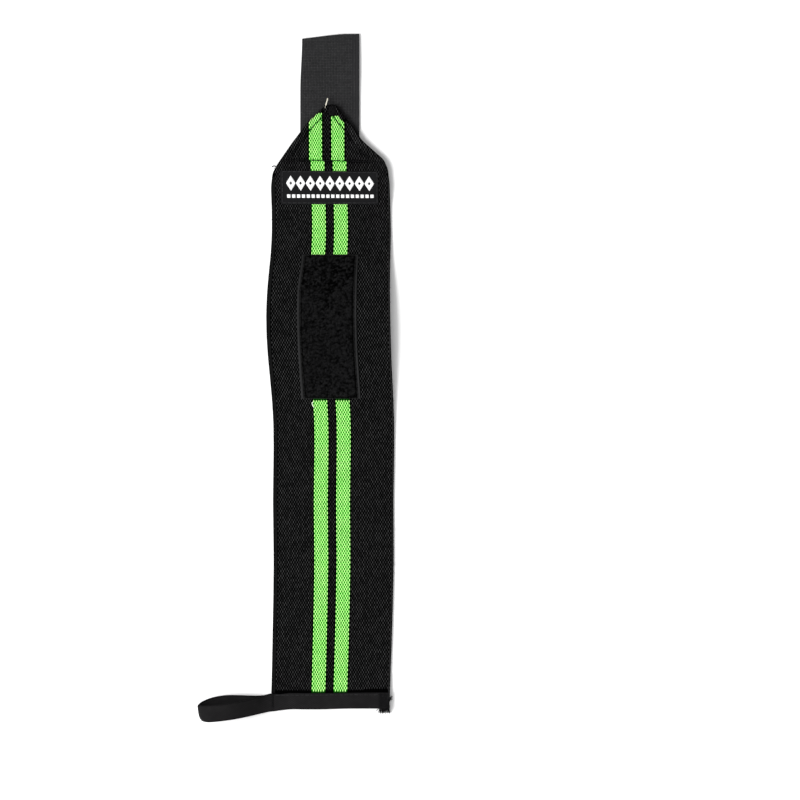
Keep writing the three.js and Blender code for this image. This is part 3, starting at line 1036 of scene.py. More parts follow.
LABEL_YARN = Yarn(
    "label_yarn", "label_satin", (0.85, 0.85, 0.85), (0.45, 0.45, 0.46),
    roughness=0.4, gloss=0.1, vary=0.15)
LABEL_THREAD = Yarn(
    "label_thread", "label_satin", (0.035, 0.035, 0.037), (0.004, 0.004, 0.004),
    roughness=0.45, gloss=0.12, vary=0.5)
TAPE_CLOTH = Cloth(
    "tape_cloth", "binding_tape", (0.0128, 0.0123, 0.0128), (0.003, 0.0028, 0.003), (0.9, 0.55),
    relief=0.08, roughness=0.5, gloss=0.03)
TAPE_THREAD = Yarn(
    "tape_thread", "binding_tape", (0.028, 0.028, 0.029), (0.003, 0.003, 0.003),
    roughness=0.45, gloss=0.1, vary=0.5)
BLACK_THREAD = Yarn(
    "black_thread", "binding_tape", (0.006, 0.006, 0.0065), (0.0008, 0.0008, 0.0008),
    roughness=0.5, gloss=0.05, vary=0.3)


@dataclass
class ElasticBand:
    """The woven elastic band with its folded point, its floating threads and its two stripes."""

    sink: float = 0.45
    column: float = 0.775
    repeat: float = 2.7
    float_length: float = 1.85
    green_length: float = 2.1
    selvedge: float = 1.55
    ribs: tuple[tuple[float, ...], tuple[float, ...]] = ((0.78, 1.25, 1.7, 2.1), (0.8,))
    rib_crowns: Pair = (0.585, 0.72)
    weave_insets: Pair = (2.6, 1.2)
    gutter: float = 0.6
    scallop: float = 0.08
    row_step: float = 1.5
    seam_dark: float = 0.45
    green_dark: float = 0.35
    tape_dark: float = 0.85
    cord_radius: float = 0.27
    tack: Pair = (0.7, 356.9)
    tack_rows: int = 13
    tack_pitch: float = 0.42
    hairs: int = 26
    rng: Rng = field(default_factory=lambda: np.random.default_rng(SEED))

    def _row_places(self) -> Points:
        """Places along the band of the rows of its core, closer together at the point."""
        body = np.arange(BAND_START, SHOULDER - 4, self.row_step)
        point = np.arange(SHOULDER - 4, BAND_TIP - 3, 0.6)
        tip = BAND_TIP - 3 * (1 - np.sin(np.linspace(0, math.pi / 2, 14))) - 0.02
        return np.concatenate([body, point, tip])

    def _across(self, y: float, inner: float | None = None) -> Points:
        """Places across one row of the core.

        Args:
            y: The row's place along the band.
            inner: Where a folded corner ends, or None for the whole width.

        Returns:
            The places, closer together at the edges.
        """
        left, right = COURSE.at(COURSE.left, y), COURSE.at(COURSE.right, y)
        rims = np.array([0.0, 0.08, 0.25, 0.5, 0.8, 1.05, 1.25, 1.45, 1.8, 2.6])
        half = (right - left) / 2
        scale = min(1.0, half / 4.0)
        slope = abs(COURSE.at(COURSE.left, y + 0.5) - COURSE.at(COURSE.left, y - 0.5))
        rims = rims * scale * min(math.hypot(1, slope), 1.8 if y > SHOULDER else 1.0)
        rims *= min(1.0, 0.9 * half / max(rims[-1], 1e-6))
        if inner is None:
            flat = np.linspace(left + rims[-1], right - rims[-1], 18)[1:-1]
            return np.concatenate([left + rims, flat, (right - rims)[::-1]])
        side = -1 if inner < (left + right) / 2 else 1
        edge = left if side < 0 else right
        width = abs(inner - edge)
        rims = rims * min(1.0, 0.45 * width / max(rims[-1], 1e-6))
        flat = np.linspace(rims[-1], width - rims[-1], 12)[1:-1]
        from_edge = np.concatenate([rims, flat, (width - rims)[::-1]])
        return edge - side * from_edge

    def core(self) -> Piece:
        """Makes the cloth under the floating threads: one sheet with its two corners folded under.

        Returns:
            The piece.
        """
        heap = Heap()
        drop_at = np.array([0.0, 0.5, 0.85, 1.05, 1.25, 1.45, 1.8])
        drop = np.array([0.0, 0.0, 0.1, 0.3, 0.5, 0.4, self.sink])
        rows = Rows()
        for y in self._row_places():
            x = self._across(y)
            along = np.full(x.shape, y)
            depth = np.clip(COURSE.inside(x, along), 0, None)
            folded = float(ease((y - SHOULDER) / 7.0))
            body = np.interp(depth, drop_at, drop)
            sunk = (1 - folded) * body + folded * np.interp(depth, [0, 1.2], [0.05, self.sink])
            high = COURSE.surface(x, along) - sunk
            half = BAND_THICKNESS / 2
            bow = half - np.sqrt(np.clip(half**2 - np.clip(half - depth, 0, None) ** 2, 0, None))
            hollow = np.minimum(bow + 0.75 * body, half - 0.06)
            low = COURSE.top(y) - BAND_THICKNESS + (1 - folded) * hollow
            low = np.minimum(low, high - 0.1)
            ring_x, ring_z = ribbon(x, low, high)
            share = np.concatenate([np.ones(len(x)), np.zeros(len(x))])
            rows.add((ring_x, y, ring_z), (ring_x - COURSE.at(COURSE.centre, y), y, share))
        rows.fill(heap)
        for side in Side:
            self._corner(heap, side)
        piece = heap.piece("elastic_band_core", BAND_GROUND)
        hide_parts("elastic_band")
        return piece

    def _corner(self, heap: Heap, side: Side) -> None:
        """Adds a corner of the band, folded under the point.

        Args:
            heap: Takes the corner.
            side: Which corner.
        """
        start, base = SHOULDER + 1.2, POINT_BASE
        places = np.concatenate([np.linspace(start, base, 16)[:-1], np.linspace(base, BAND_TIP - 2.2, 44)])
        edge_column = side.pick((COURSE.left, COURSE.right))
        rows = Rows()
        for y in places:
            edge = float(COURSE.at(edge_column, y))
            share = min(1.0, (y - start + 0.6) / (base - start))
            inner = edge + share * (side.value * CORNER_GAP / 2 - edge)
            x = self._across(y, inner)
            along = np.full(x.shape, y)
            depth = np.clip(COURSE.inside(x, along), 0, None)
            radius = COURSE.roll(y)
            middle = COURSE.top(y) - radius
            short = np.clip(radius - depth, 0, None)
            low = middle - np.sqrt(np.clip(radius**2 - short**2, 0, None))
            to_free = np.abs(inner - x)
            free = 0.8 * (1 - np.sqrt(1 - np.clip(1 - to_free / 0.8, 0, 1) ** 2))
            high = middle - FOLD_SLIT / 2 * np.clip(depth / 1.0, 0, 1) - np.minimum(free, 0.75)
            low = np.minimum(low + np.minimum(free, 0.75), high - 0.08)
            if side is Side.RIGHT:
                x, low, high = x[::-1], low[::-1], high[::-1]
            ring_x, ring_z = ribbon(x, low, high)
            rows.add((ring_x, y, ring_z), (y, ring_x, 0.0))
        rows.fill(heap)

    def _columns(self, low: float, high: float) -> Points:
        """Places of the warp columns between two edges of a zone."""
        count = max(round((high - low) / self.column), 1)
        return low + (np.arange(count) + 0.5) * (high - low) / count

    def _spots(self, columns: Points, first: float, last: float) -> Points:
        """Staggered places of the floats along some columns.

        Args:
            columns: Places of the columns across the flat band.
            first: Where the floats begin along the band.
            last: Where they end.

        Returns:
            Rows of across and along.
        """
        rows = np.arange(first, last, self.repeat)
        across = np.repeat(columns, len(rows))
        along = np.tile(rows, len(columns))
        shift = np.repeat((np.arange(len(columns)) % 2) * self.repeat / 2, len(rows))
        return np.stack([across, along + shift], 1)

    def _hidden(self, spots: Points) -> Points:
        """True for floats that lie wholly under the patch, the label or the narrow tape."""
        across, along = spots.T
        patch = (np.abs(across - PATCH_OFFSET) < PATCH_WIDTH / 2 - 1.6) & (
            np.abs(along - PATCH_START - PATCH_LENGTH / 2) < PATCH_LENGTH / 2 - 2.2)
        label = (np.abs(across - LABEL_OFFSET) < LABEL_WIDTH / 2 - 1.6) & (
            np.abs(along - LABEL_START - LABEL_HEIGHT / 2) < LABEL_HEIGHT / 2 - 2.2)
        return patch | label | (along < TAPE_WIDTH - 2.0)

    def _outer(self, x: Points, y: Points, height: Points, least: float = 0.12,
               top: float = BAND_TIP) -> Points:
        """Places on the outer face, at a height above the core, drawn in where they pass the fold's edge.

        Args:
            x: Places across the flat band.
            y: Places along it.
            height: Heights above the core.
            least: Least distance in from the edge at the point.
            top: Greatest place along.

        Returns:
            The places, one row each.
        """
        y = np.minimum(y, top)
        across = COURSE.x(x, y)
        near = y > (SHOULDER - 4 if least < 1 else POINT_BASE)
        past = np.flatnonzero(near & (COURSE.inside(across, y) < least))
        if len(past):
            step = 0.05
            px, py = across[past], y[past]
            depth = COURSE.inside(px, py)
            way = np.stack([COURSE.inside(px + step, py) - depth, COURSE.inside(px, py + step) - depth], 1)
            way /= np.linalg.norm(way, axis=1, keepdims=True) + 1e-9
            across, y = across.copy(), y.copy()
            across[past] += way[:, 0] * (least - depth)
            y[past] += way[:, 1] * (least - depth)
        return np.stack([across, y, COURSE.surface(across, y) - self.sink + height], 1)

    def _inner(self, x: Points, y: Points, height: Points) -> Points:
        """Places on the inner face, at a depth below the core."""
        across = COURSE.x(x, y)
        return np.stack([across, y, COURSE.at(COURSE.under, y) + 0.75 * self.sink - height], 1)

    def _kept(self, spots: Points, margin: float, fold_margin: float) -> Points:
        """Drops the floats that would reach past the band's edge or are hidden.

        Args:
            spots: Rows of across and along.
            margin: Least distance in from the edge.
            fold_margin: Least distance in at the point.

        Returns:
            The rows that stay.
        """
        spots = spots[~self._hidden(spots)]
        depth = COURSE.inside(COURSE.x(spots[:, 0], spots[:, 1]), spots[:, 1])
        limit = np.where(spots[:, 1] > SHOULDER, fold_margin, margin)
        return spots[depth > limit]

    def _is_green(self, side: Side, spots: Points) -> Points:
        """True for a stripe's floats that show green, short of the black tip."""
        depth = COURSE.inside(COURSE.x(spots[:, 0], spots[:, 1]), spots[:, 1])
        within = depth > side.pick(GREEN_INSETS) - 0.6
        return (spots[:, 1] < side.pick(GREEN_TOPS) + 0.5) & (within | (spots[:, 1] < POINT_BASE))

    def _stripe_spots(self, side: Side) -> tuple[Points, int]:
        """Places of a stripe's floats, the outermost ones set a little further out.

        Args:
            side: Which stripe.

        Returns:
            Rows of across and along, and the number of columns.
        """
        middle = STRIPE_OFFSET + side.value * STRIPE_SPACING / 2
        columns = self._columns(middle - STRIPE_WIDTH / 2, middle + STRIPE_WIDTH / 2)
        columns[0] -= self.scallop
        columns[-1] += self.scallop
        return self._kept(self._spots(columns, BAND_START, BAND_TIP), 0.5, -0.5), len(columns)

    def outer_floats(self) -> Piece:
        """Makes the black warp floats of the outer face.

        Returns:
            The piece.
        """
        stripes = [STRIPE_OFFSET + side.value * STRIPE_SPACING / 2 for side in Side]
        reach = STRIPE_WIDTH / 2 + self.gutter
        zones = (
            (-BAND_WIDTH / 2 + self.weave_insets[0], stripes[0] - reach),
            (stripes[0] + reach, stripes[1] - reach),
            (stripes[1] + reach, BAND_WIDTH / 2 - self.weave_insets[1]),
        )
        heap = Heap()
        for low, high in zones:
            columns = self._columns(low, high)
            spots = self._kept(self._spots(columns, BAND_START, BAND_TIP), 0.5, -0.5)
            close = 0.98 if len(columns) > 8 else 0.72
            size = (close * (high - low) / len(columns), self.float_length, self.sink)
            darks = self.seam_dark, self.tape_dark
            lay_grains(heap, OUTER_GRAIN, spots, size, self._outer, 0.05, self.rng, *darks)
        for side in Side:
            spots, _ = self._stripe_spots(side)
            black = spots[~self._is_green(side, spots)]
            size = (self.column, self.float_length, self.sink)
            lay_grains(heap, OUTER_GRAIN, black, size, self._outer, 0.05, self.rng, self.seam_dark)
        self._selvedges(heap)
        return heap.piece("elastic_band_weave", BAND_YARN)

    def _selvedges(self, heap: Heap) -> None:
        """Adds the cords of the band's two selvedges, one of which shows past the tape's cut end."""
        for side in Side:
            for inset in side.pick(self.ribs):
                y = np.arange(TAPE_WIDTH - 1, SHOULDER + 8, 1.5)
                x = COURSE.at(side.pick((COURSE.left, COURSE.right)), y) - side.value * inset
                z = COURSE.surface(x, y) - 0.26 - 0.3 * ease((y - SHOULDER - 2) / 6)
                self._cord(heap, np.stack([x, y, z], 1), self.cord_radius, side.pick(self.rib_crowns))
        face = TAPE_LIFT + BAND_THICKNESS + CLEARANCE + TAPE_THICKNESS - 0.2
        x = COURSE.at(COURSE.right, 8.0) - 0.75
        end = np.array([
            (x + 0.1, 10.2, face - 0.2), (x, 9.0, face), (x - 0.1, 7.0, face), (x, 5.2, face - 0.1),
        ])
        self._cord(heap, end, 0.24, 0.68)

    def _cord(self, heap: Heap, line: Points, radius: float, crown: float) -> None:
        """Adds a thick thread that runs along the band.

        Args:
            heap: Takes the cord.
            line: Its centre line.
            radius: Its radius.
            crown: Share of height that its crown counts as, which sets its shade.
        """
        turn = 2 * math.pi * np.arange(6) / 6
        ring = np.stack([radius * np.cos(turn), np.zeros(6), radius * np.sin(turn)], 1)
        share = crown - 0.2 + 0.2 * np.sin(turn)[None]
        cloth = np.stack(np.broadcast_arrays(ring[None, :, 0], line[:, 1:2], share), -1)
        heap.loft(line[:, None] + ring, cloth, 0.4)

    def inner_floats(self) -> Piece:
        """Makes the black warp floats of the inner face, up to the folded corners."""
        edge = BAND_WIDTH / 2 - self.selvedge
        columns = self._columns(-edge, edge)
        spots = self._spots(columns, TAPE_WIDTH + 1.4, SHOULDER + 2)
        depth = COURSE.inside(COURSE.x(spots[:, 0], spots[:, 1]), spots[:, 1])
        heap = Heap()
        size = (self.column, self.float_length, 0.72 * self.sink)
        lay_grains(heap, INNER_GRAIN, spots[depth > 1.2], size, self._inner, 0.04, self.rng)
        return heap.piece("elastic_band_back_weave", BAND_YARN)

    def stripe(self, side: Side) -> list[Piece]:
        """Makes one green stripe: its ground and its floats.

        Args:
            side: Which stripe.

        Returns:
            The two pieces.
        """
        name = "stripe_" + side.name.lower()
        middle = STRIPE_OFFSET + side.value * STRIPE_SPACING / 2
        low, high = middle - STRIPE_WIDTH / 2, middle + STRIPE_WIDTH / 2
        top, least = side.pick(GREEN_TOPS), side.pick(GREEN_INSETS)
        rows = Rows()
        body, point = np.arange(BAND_START + 0.3, SHOULDER, 0.75), np.arange(SHOULDER, top, 0.35)
        for y in np.concatenate([body, point]):
            inset = 0.4 + 1.3 * least * (y > POINT_BASE)
            edge = COURSE.at(COURSE.left, y) + inset, COURSE.at(COURSE.right, y) - inset
            drawn = 1 - STRIPE_DRAW * past_seam(y)
            sides = [COURSE.x(middle + (x - middle) * drawn, y) for x in (low, high)]
            first, last = max(sides[0], edge[0]), min(sides[1], edge[1])
            if last - first < 0.5:
                break
            x = np.linspace(first, last, 12)
            base = COURSE.surface(x, np.full(x.shape, y)) - self.sink
            ring_x, ring_z = ribbon(x, base - 0.12, base + 0.07)
            # Painted shade on the green ground beside the narrow tape's raised edge, and along the patch's
            # lower edge.
            patch_shadow = ease((y - PATCH_START + 1.6) / 0.7) * (y < PATCH_START + 9)
            unshaded = ease((y - TAPE_WIDTH + 0.6) / 1.2) * (1 - patch_shadow)
            rows.add((ring_x, y, ring_z), (ring_x, y, unshaded))
        under = rows.fill(Heap()).piece(name + "_ground", GREEN_GROUND)
        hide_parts(name)
        spots, count = self._stripe_spots(side)
        floats = Heap()
        size = (STRIPE_WIDTH / count, self.green_length, self.sink + 0.02)
        low_end, high_end, upper = TAPE_WIDTH - 0.75, PATCH_START - 0.9, PATCH_START + PATCH_LENGTH / 2
        clear = (spots[:, 1] > low_end + 0.4) & ((spots[:, 1] < high_end - 0.4) | (spots[:, 1] > upper))
        spots = spots[self._is_green(side, spots) & clear]

        def within(x: Points, y: Points, height: Points) -> Points:
            """Places on the outer face, short of the black tip."""
            x = middle + (x - middle) * (1 - STRIPE_DRAW * past_seam(y))
            y = np.where(y < upper, np.clip(y, low_end, high_end), y)
            return self._outer(x, y, height, least, top)

        lay_grains(floats, FINE_GRAIN, spots, size, within, 0.04, self.rng, self.green_dark)
        return [under, floats.piece(name + "_weave", GREEN_YARN)]

    def seams(self) -> Piece:
        """Makes the point's stitches: a row across it, one inside each folded edge, and the tack at its tip.

        Returns:
            The piece.
        """
        heap = Heap()
        x = np.linspace(-21.5, 24.5, 30)
        lay_seam(heap, np.stack([x, COURSE.seam_across(x)], 1), COURSE.surface, self.rng, radius=0.27)
        for side in Side:
            line = COURSE.inset_line(side, side.pick(SEAM_INSETS), SEAM_ACROSS + 1.5)
            lay_seam(heap, line, COURSE.surface, self.rng, radius=0.25)
        middle, start = self.tack
        for row in range(self.tack_rows):
            y = start + self.tack_pitch * row
            half = 1.6 + 0.12 * min(row, self.tack_rows - 1 - row)
            line = [(middle - half, y), (middle + half, y + 0.5 * (-1) ** row)]
            lay_seam(heap, line, COURSE.surface, self.rng, 2 * half, 0.2, 0.21, 1.0)
        return heap.piece("elastic_band_stitches", BLACK_THREAD)

    def loose_threads(self) -> list[Piece]:
        """Makes the cream thread end at the tip, the stray black ends at the edges and a pulled pale one.

        Returns:
            The three pieces.
        """
        cream = Heap()
        top = COURSE.top(BAND_TIP)
        thick = [
            (-2.0, 367.1, top - 1.6), (-2.3, 365.6, top - 0.7), (-2.7, 364.2, top + 0.1),
            (-3.0, 362.9, top + 0.5),
        ]
        thin = [(-2.98, 363.1, top + 0.5), (-3.3, 362.2, top + 0.45), (-3.5, 361.0, top + 0.1)]
        strand(cream, thick, 0.38, self.rng, 0.8)
        strand(cream, thin, 0.12, self.rng, 0.4)
        black = Heap()
        z = COURSE.top(SHOULDER)
        start = COURSE.surface(np.array([-31.5]), np.array([326.4]))[0] + 0.1
        stray = [
            (-31.0, 326.0, start), (-32.6, 325.9, z + 0.5), (-34.0, 326.5, z + 0.2), (-35.6, 326.1, z - 0.3),
        ]
        second = [(-32.2, 325.9, z + 0.3), (-33.3, 325.2, z + 0.3), (-34.4, 325.3, z - 0.2)]
        strand(black, stray, 0.42, self.rng, 0.7)
        strand(black, second, 0.3, self.rng)
        for _ in range(self.hairs):
            side = Side.LEFT if self.rng.random() < 0.5 else Side.RIGHT
            y = self.rng.uniform(TAPE_WIDTH + 2, SHOULDER)
            edge = COURSE.at(side.pick((COURSE.left, COURSE.right)), y)
            z = COURSE.top(y) - self.rng.uniform(0.2, 1.2)
            reach, drift = side.value * self.rng.uniform(0.3, 0.9), self.rng.normal(0, 0.9)
            hair = [(edge - side.value * 0.5, y, z), (edge + 0.5 * reach, y + 0.4 * drift, z + 0.15),
                    (edge + reach, y + drift, z - 0.1)]
            strand(black, hair, 0.06, self.rng, 0.6, 4)
        pale = Heap()
        z = COURSE.top(183.0) + 0.15
        knots = [
            (-10.7, 184.6, z - 0.2), (-11.35, 183.9, z), (-11.0, 182.4, z + 0.1), (-10.2, 181.0, z - 0.1),
        ]
        strand(pale, knots, 0.26, self.rng)
        loose = black.piece("elastic_band_loose_threads", BLACK_THREAD)
        caught = pale.piece("elastic_band_pale_thread", PALE_THREAD)
        return [cream.piece("elastic_band_cream_thread", CREAM_THREAD), loose, caught]

    def build(self) -> None:
        core = self.core()
        pieces = [self.outer_floats(), self.inner_floats(), *self.stripe(Side.LEFT), *self.stripe(Side.RIGHT)]
        pieces += [self.seams(), *self.loose_threads()]


@dataclass
class HookStrap:
    """The strap of hook tape: a woven backing, and a field of hooks below it."""

    pitch: float = 0.95
    warp_size: tuple[float, float, float] = (0.72, 1.25, 0.2)
    weft_size: Pair = (0.8, 1.2)
    weft_heights: Pair = (0.3, 0.13)
    rib_insets: Pair = (1.0, 3.1)
    face_drop: float = 0.22
    wave: float = 0.25
    hook_pitch: float = 1.25
    hook_radius: float = 0.07
    rng: Rng = field(default_factory=lambda: np.random.default_rng(SEED + 1))

    def _end(self, x: Points) -> Points:
        """Where the strap's cut end lies at places across."""
        share = np.clip((x - STRAP_OFFSET) / STRAP_WIDTH + 0.5, 0, 1)
        return BAND_TIP + STRAP_REACH * (1 - np.interp(share, STRAP_END[:, 0], STRAP_END[:, 1]))

    def _drawn(self, x: Points, y: Points) -> Points:
        """Places across, with the left selvedge drawn in towards the cut end."""
        left = np.clip((STRAP_OFFSET - x) / (STRAP_WIDTH / 2), 0, 1)
        return x + 1.1 * left * ease((y - BAND_TIP - 8) / 32)

    def _lift(self, x: Points, y: Points) -> Points:
        """Slight waviness of the strap's free end."""
        return self.wave * ease((y - BAND_TIP) / 20) * (1 + np.sin(x * 0.19 + y * 0.11))

    def backing(self) -> Piece:
        """Makes the woven backing with its rounded selvedges and slanted end."""
        half, rim = STRAP_WIDTH / 2, 0.4
        across = section(half, rim, 26)
        x = across + STRAP_OFFSET
        middle = HOOK_DEPTH + STRAP_BACKING / 2
        girth = STRAP_BACKING / 2 * rounding(across, half, rim)
        share = np.linspace(0, 1, 90)
        inset = self.face_drop * (np.abs(across) < half - 1.4)
        rows = Rows()
        for s in share:
            y = POINT_BASE + s * (self._end(x) - POINT_BASE)
            lift = self._lift(x, y)
            squeeze = 1 - 0.6 * max(0.0, (s - 0.992) / 0.008)
            low, high = middle - girth * squeeze + lift, middle + (girth - inset) * squeeze + lift
            ring_x, ring_z = ribbon(self._drawn(x, y), low, high)
            ring_y = np.concatenate([y, y[::-1]])
            rows.add((ring_x, ring_y, ring_z), (ring_x, ring_y, 1.0))
        piece = rows.fill(Heap()).piece("hook_strap_backing", HOOK_CLOTH)
        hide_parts("hook_strap")
        return piece

    def weave(self) -> Piece:
        """Makes the plain weave of the strap's face, where the point doesn't cover it."""
        half = STRAP_WIDTH / 2 - 1.35
        count = round(2 * half / self.pitch)
        columns = STRAP_OFFSET - half + (np.arange(count) + 0.5) * 2 * half / count
        ribs = np.abs((half - columns)[:, None] - np.array(self.rib_insets)).min(1) > 0.48
        rows = np.arange(POINT_BASE + 4, BAND_TIP + STRAP_REACH, self.pitch)
        i, j = np.meshgrid(np.arange(count), np.arange(len(rows)), indexing="ij")
        spots = np.stack([columns[i.ravel()], rows[j.ravel()]], 1)
        odd = (i + j).ravel() % 2 == 0
        clear = (spots[:, 1] < self._end(spots[:, 0]) - 0.6) & (COURSE.inside(spots[:, 0], spots[:, 1]) < 2.5)
        clear &= ribs[i.ravel()]
        base = STRAP_THICKNESS - self.face_drop

        def upright(x: Points, y: Points, height: Points) -> Points:
            """Places on the strap's face."""
            return np.stack([self._drawn(x, y), y, base + height + self._lift(x, y)], 1)

        def turned(y: Points, x: Points, height: Points) -> Points:
            """Places on the strap's face for threads that run across it."""
            return upright(x, y, height)

        heap = Heap()
        lay_grains(heap, SQUARE_GRAIN, spots[clear & odd], self.warp_size, upright, 0.03, self.rng)
        for rib, height in enumerate(self.weft_heights):
            row = clear & ~odd & (j.ravel() % 2 == rib)
            size = (*self.weft_size, height)
            lay_grains(heap, SQUARE_GRAIN, spots[row][:, ::-1], size, turned, 0.03, self.rng)
        return heap.piece("hook_strap_weave", HOOK_YARN)

    def hooks(self) -> Piece:
        """Makes the small hooks below the backing, above the table."""
        half = STRAP_WIDTH / 2 - HOOK_MARGIN
        x = np.arange(-half + 0.6, half, self.hook_pitch) + STRAP_OFFSET
        y = np.arange(POINT_BASE + 1, BAND_TIP + STRAP_REACH, self.hook_pitch)
        spots = np.stack([axis.ravel() for axis in np.meshgrid(x, y, indexing="ij")], 1)
        spots = spots[spots[:, 1] < self._end(spots[:, 0]) - 1.0]
        turn = np.linspace(-0.5 * math.pi, 0.75 * math.pi, 5) + 0.5 * math.pi
        bend = np.stack([0.24 - 0.24 * np.cos(turn), 0.3 - 0.27 * np.sin(turn)], 1)
        line = np.concatenate([[(0.0, 0.75)], bend])
        heap = Heap()
        rings = []
        for k, (run, up) in enumerate(line):
            before, after = line[max(k - 1, 0)], line[min(k + 1, len(line) - 1)]
            along = (after - before) / np.linalg.norm(after - before)
            normal = np.array([-along[1], along[0]])
            angle = 2 * math.pi * np.arange(4) / 4
            wide, tall = self.hook_radius * np.cos(angle), self.hook_radius * np.sin(angle)
            rings.append(np.stack([wide, run + normal[0] * tall, up + normal[1] * tall], 1))
        hook = np.stack(rings)
        hook[..., 2] = np.maximum(hook[..., 2], 0.01)
        for i, (px, py) in enumerate(spots):
            side = 1 if i % 2 else -1
            placed = hook * np.array([1, side, 1]) + np.array([float(self._drawn(px, py)), py, 0])
            placed[..., 2] += self._lift(placed[..., 0], placed[..., 1])
            heap.loft(placed, placed.copy())
        return heap.piece("hook_strap_hooks", HOOK_YARN)

    def build(self) -> None:
        backing = self.backing()
        pieces = [self.weave(), self.hooks()]


@dataclass
class LoopPatch:
    """The rectangle of loop tape: a backing with two selvedges, a bumpy ground and soft loops."""

    loops: int = 6400
    blotch: Pair = (2.5, 1.2)
    tuft: Pair = (0.95, 0.75)
    drawn_in: float = 0.085
    rng: Rng = field(default_factory=lambda: np.random.default_rng(SEED + 2))

    def _base(self, y: Points) -> Points:
        """Height of the patch's underside, pressed a little into the band."""
        return COURSE.top(y) - 0.1

    def backing(self) -> Piece:
        """Makes the backing, thin at its cut ends where it is sewn down."""
        half, rim = PATCH_WIDTH / 2, 0.35
        across = section(half, rim, 60)
        end = np.linspace(0, 0.6, 4)
        body = np.arange(0.6, PATCH_LENGTH - 0.6, 1.2)
        places = PATCH_START + np.concatenate([end[:-1], body, PATCH_LENGTH - end[::-1]])
        girth = PATCH_BACKING / 2 * rounding(across, half, rim)
        girth = girth - 0.14 * np.exp(-(((np.abs(across) - (half - 1.5)) / 0.45) ** 2))
        # Painted light on the raised selvedges; the rest of the backing is left darker. The selvedges are
        # fainter towards the patch's upper end.
        light = ease((np.abs(across) - (half - 1.25)) / 0.5)
        light = np.concatenate([light, light[::-1]])
        rows = Rows()
        for y in places:
            squeeze = 1 - 0.5 * (1 - min(1.0, min(y - PATCH_START, PATCH_START + PATCH_LENGTH - y) / 0.5))
            middle = self._base(y) + PATCH_BACKING / 2
            ring_x, ring_z = ribbon(self._x(across, y), middle - girth, middle + girth * squeeze)
            along_patch = 0.3 + 0.7 * ease((PATCH_START + PATCH_LENGTH - y) / 32.0)
            rows.add((ring_x, y, ring_z), (np.concatenate([across, across[::-1]]), y, along_patch * light))
        piece = rows.fill(Heap()).piece("loop_patch_backing", PATCH_CLOTH)
        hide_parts("loop_patch")
        return piece

    def _x(self, across: Points, y: Points) -> Points:
        """Place of a thread of the patch, whose left side is drawn in a little at its upper end."""
        upper = ease((y - PATCH_START - 0.72 * PATCH_LENGTH) / (0.25 * PATCH_LENGTH))
        drawn = self.drawn_in * upper * (across < 0)
        return COURSE.at(COURSE.centre, y) + PATCH_OFFSET + across * (1 - drawn)

    def _clump(self, x: Points, y: Points) -> Points:
        """Height of the pile's clumps, from 0 to 1."""
        share = (y - PATCH_START) / PATCH_LENGTH
        along_patch = ease((share - 0.68) / 0.12) * ease((0.99 - share) / 0.06)
        coarse, fine = mottle(x, y, self.blotch) - 0.5, mottle(x, y, self.tuft) - 0.5
        height = 0.54 + (0.27 + 0.4 * along_patch) * coarse + (0.7 + 0.25 * along_patch) * fine - 0.08 * along_patch
        return np.clip(height, 0, 1)

    def _room(self, x: Points, y: Points) -> Points:
        """Share of the full pile height, less near the edges of its field."""
        side = PATCH_WIDTH / 2 - PILE_MARGIN + 0.3 - np.abs(x)
        end = np.minimum(y - PATCH_START, PATCH_START + PATCH_LENGTH - y) - 0.4
        return np.sqrt(np.clip(np.minimum(side, end) / 1.2, 0, 1))

    def ground(self) -> Piece:
        """Makes the matted lower pile that the loops stand in."""
        half = PATCH_WIDTH / 2 - PILE_MARGIN + 0.2
        across = np.linspace(-half, half, 64)
        rows = Rows()
        for y in np.arange(PATCH_START + 0.5, PATCH_START + PATCH_LENGTH - 0.4, 0.5):
            jitter = self.rng.normal(0, 0.05, len(across))
            along = np.full(across.shape, y)
            tall = 0.15 + 0.75 * self._clump(across, along) + jitter
            high = PATCH_BACKING + 0.02 + self._room(across, along) * tall
            low = np.full(across.shape, PATCH_BACKING - 0.15)
            ring_x, ring_z = ribbon(across, low, np.maximum(high, PATCH_BACKING - 0.05))
            # The matted ground is darker the lower it lies: painted shade under the loops.
            share = np.clip(1.3 * (ring_z - PATCH_BACKING), 0, 1)
            rows.add((self._x(ring_x, y), y, self._base(y) + ring_z), (ring_x, y, share))
        return rows.fill(Heap()).piece("loop_patch_ground", PILE_YARN)

    def pile(self) -> Piece:
        """Makes the soft loops, leaning every way."""
        half = PATCH_WIDTH / 2 - PILE_MARGIN
        count = self.loops
        foot = np.stack([
            self.rng.uniform(-half, half, count),
            self.rng.uniform(PATCH_START + 0.9, PATCH_START + PATCH_LENGTH - 0.9, count),
        ], 1)
        turn = self.rng.uniform(0, 2 * math.pi, count)
        span = self.rng.uniform(0.8, 2.9, count)
        lean = self.rng.normal(0, 0.45, (count, 2))
        full = self._room(*foot.T)
        clump = self._clump(*foot.T)
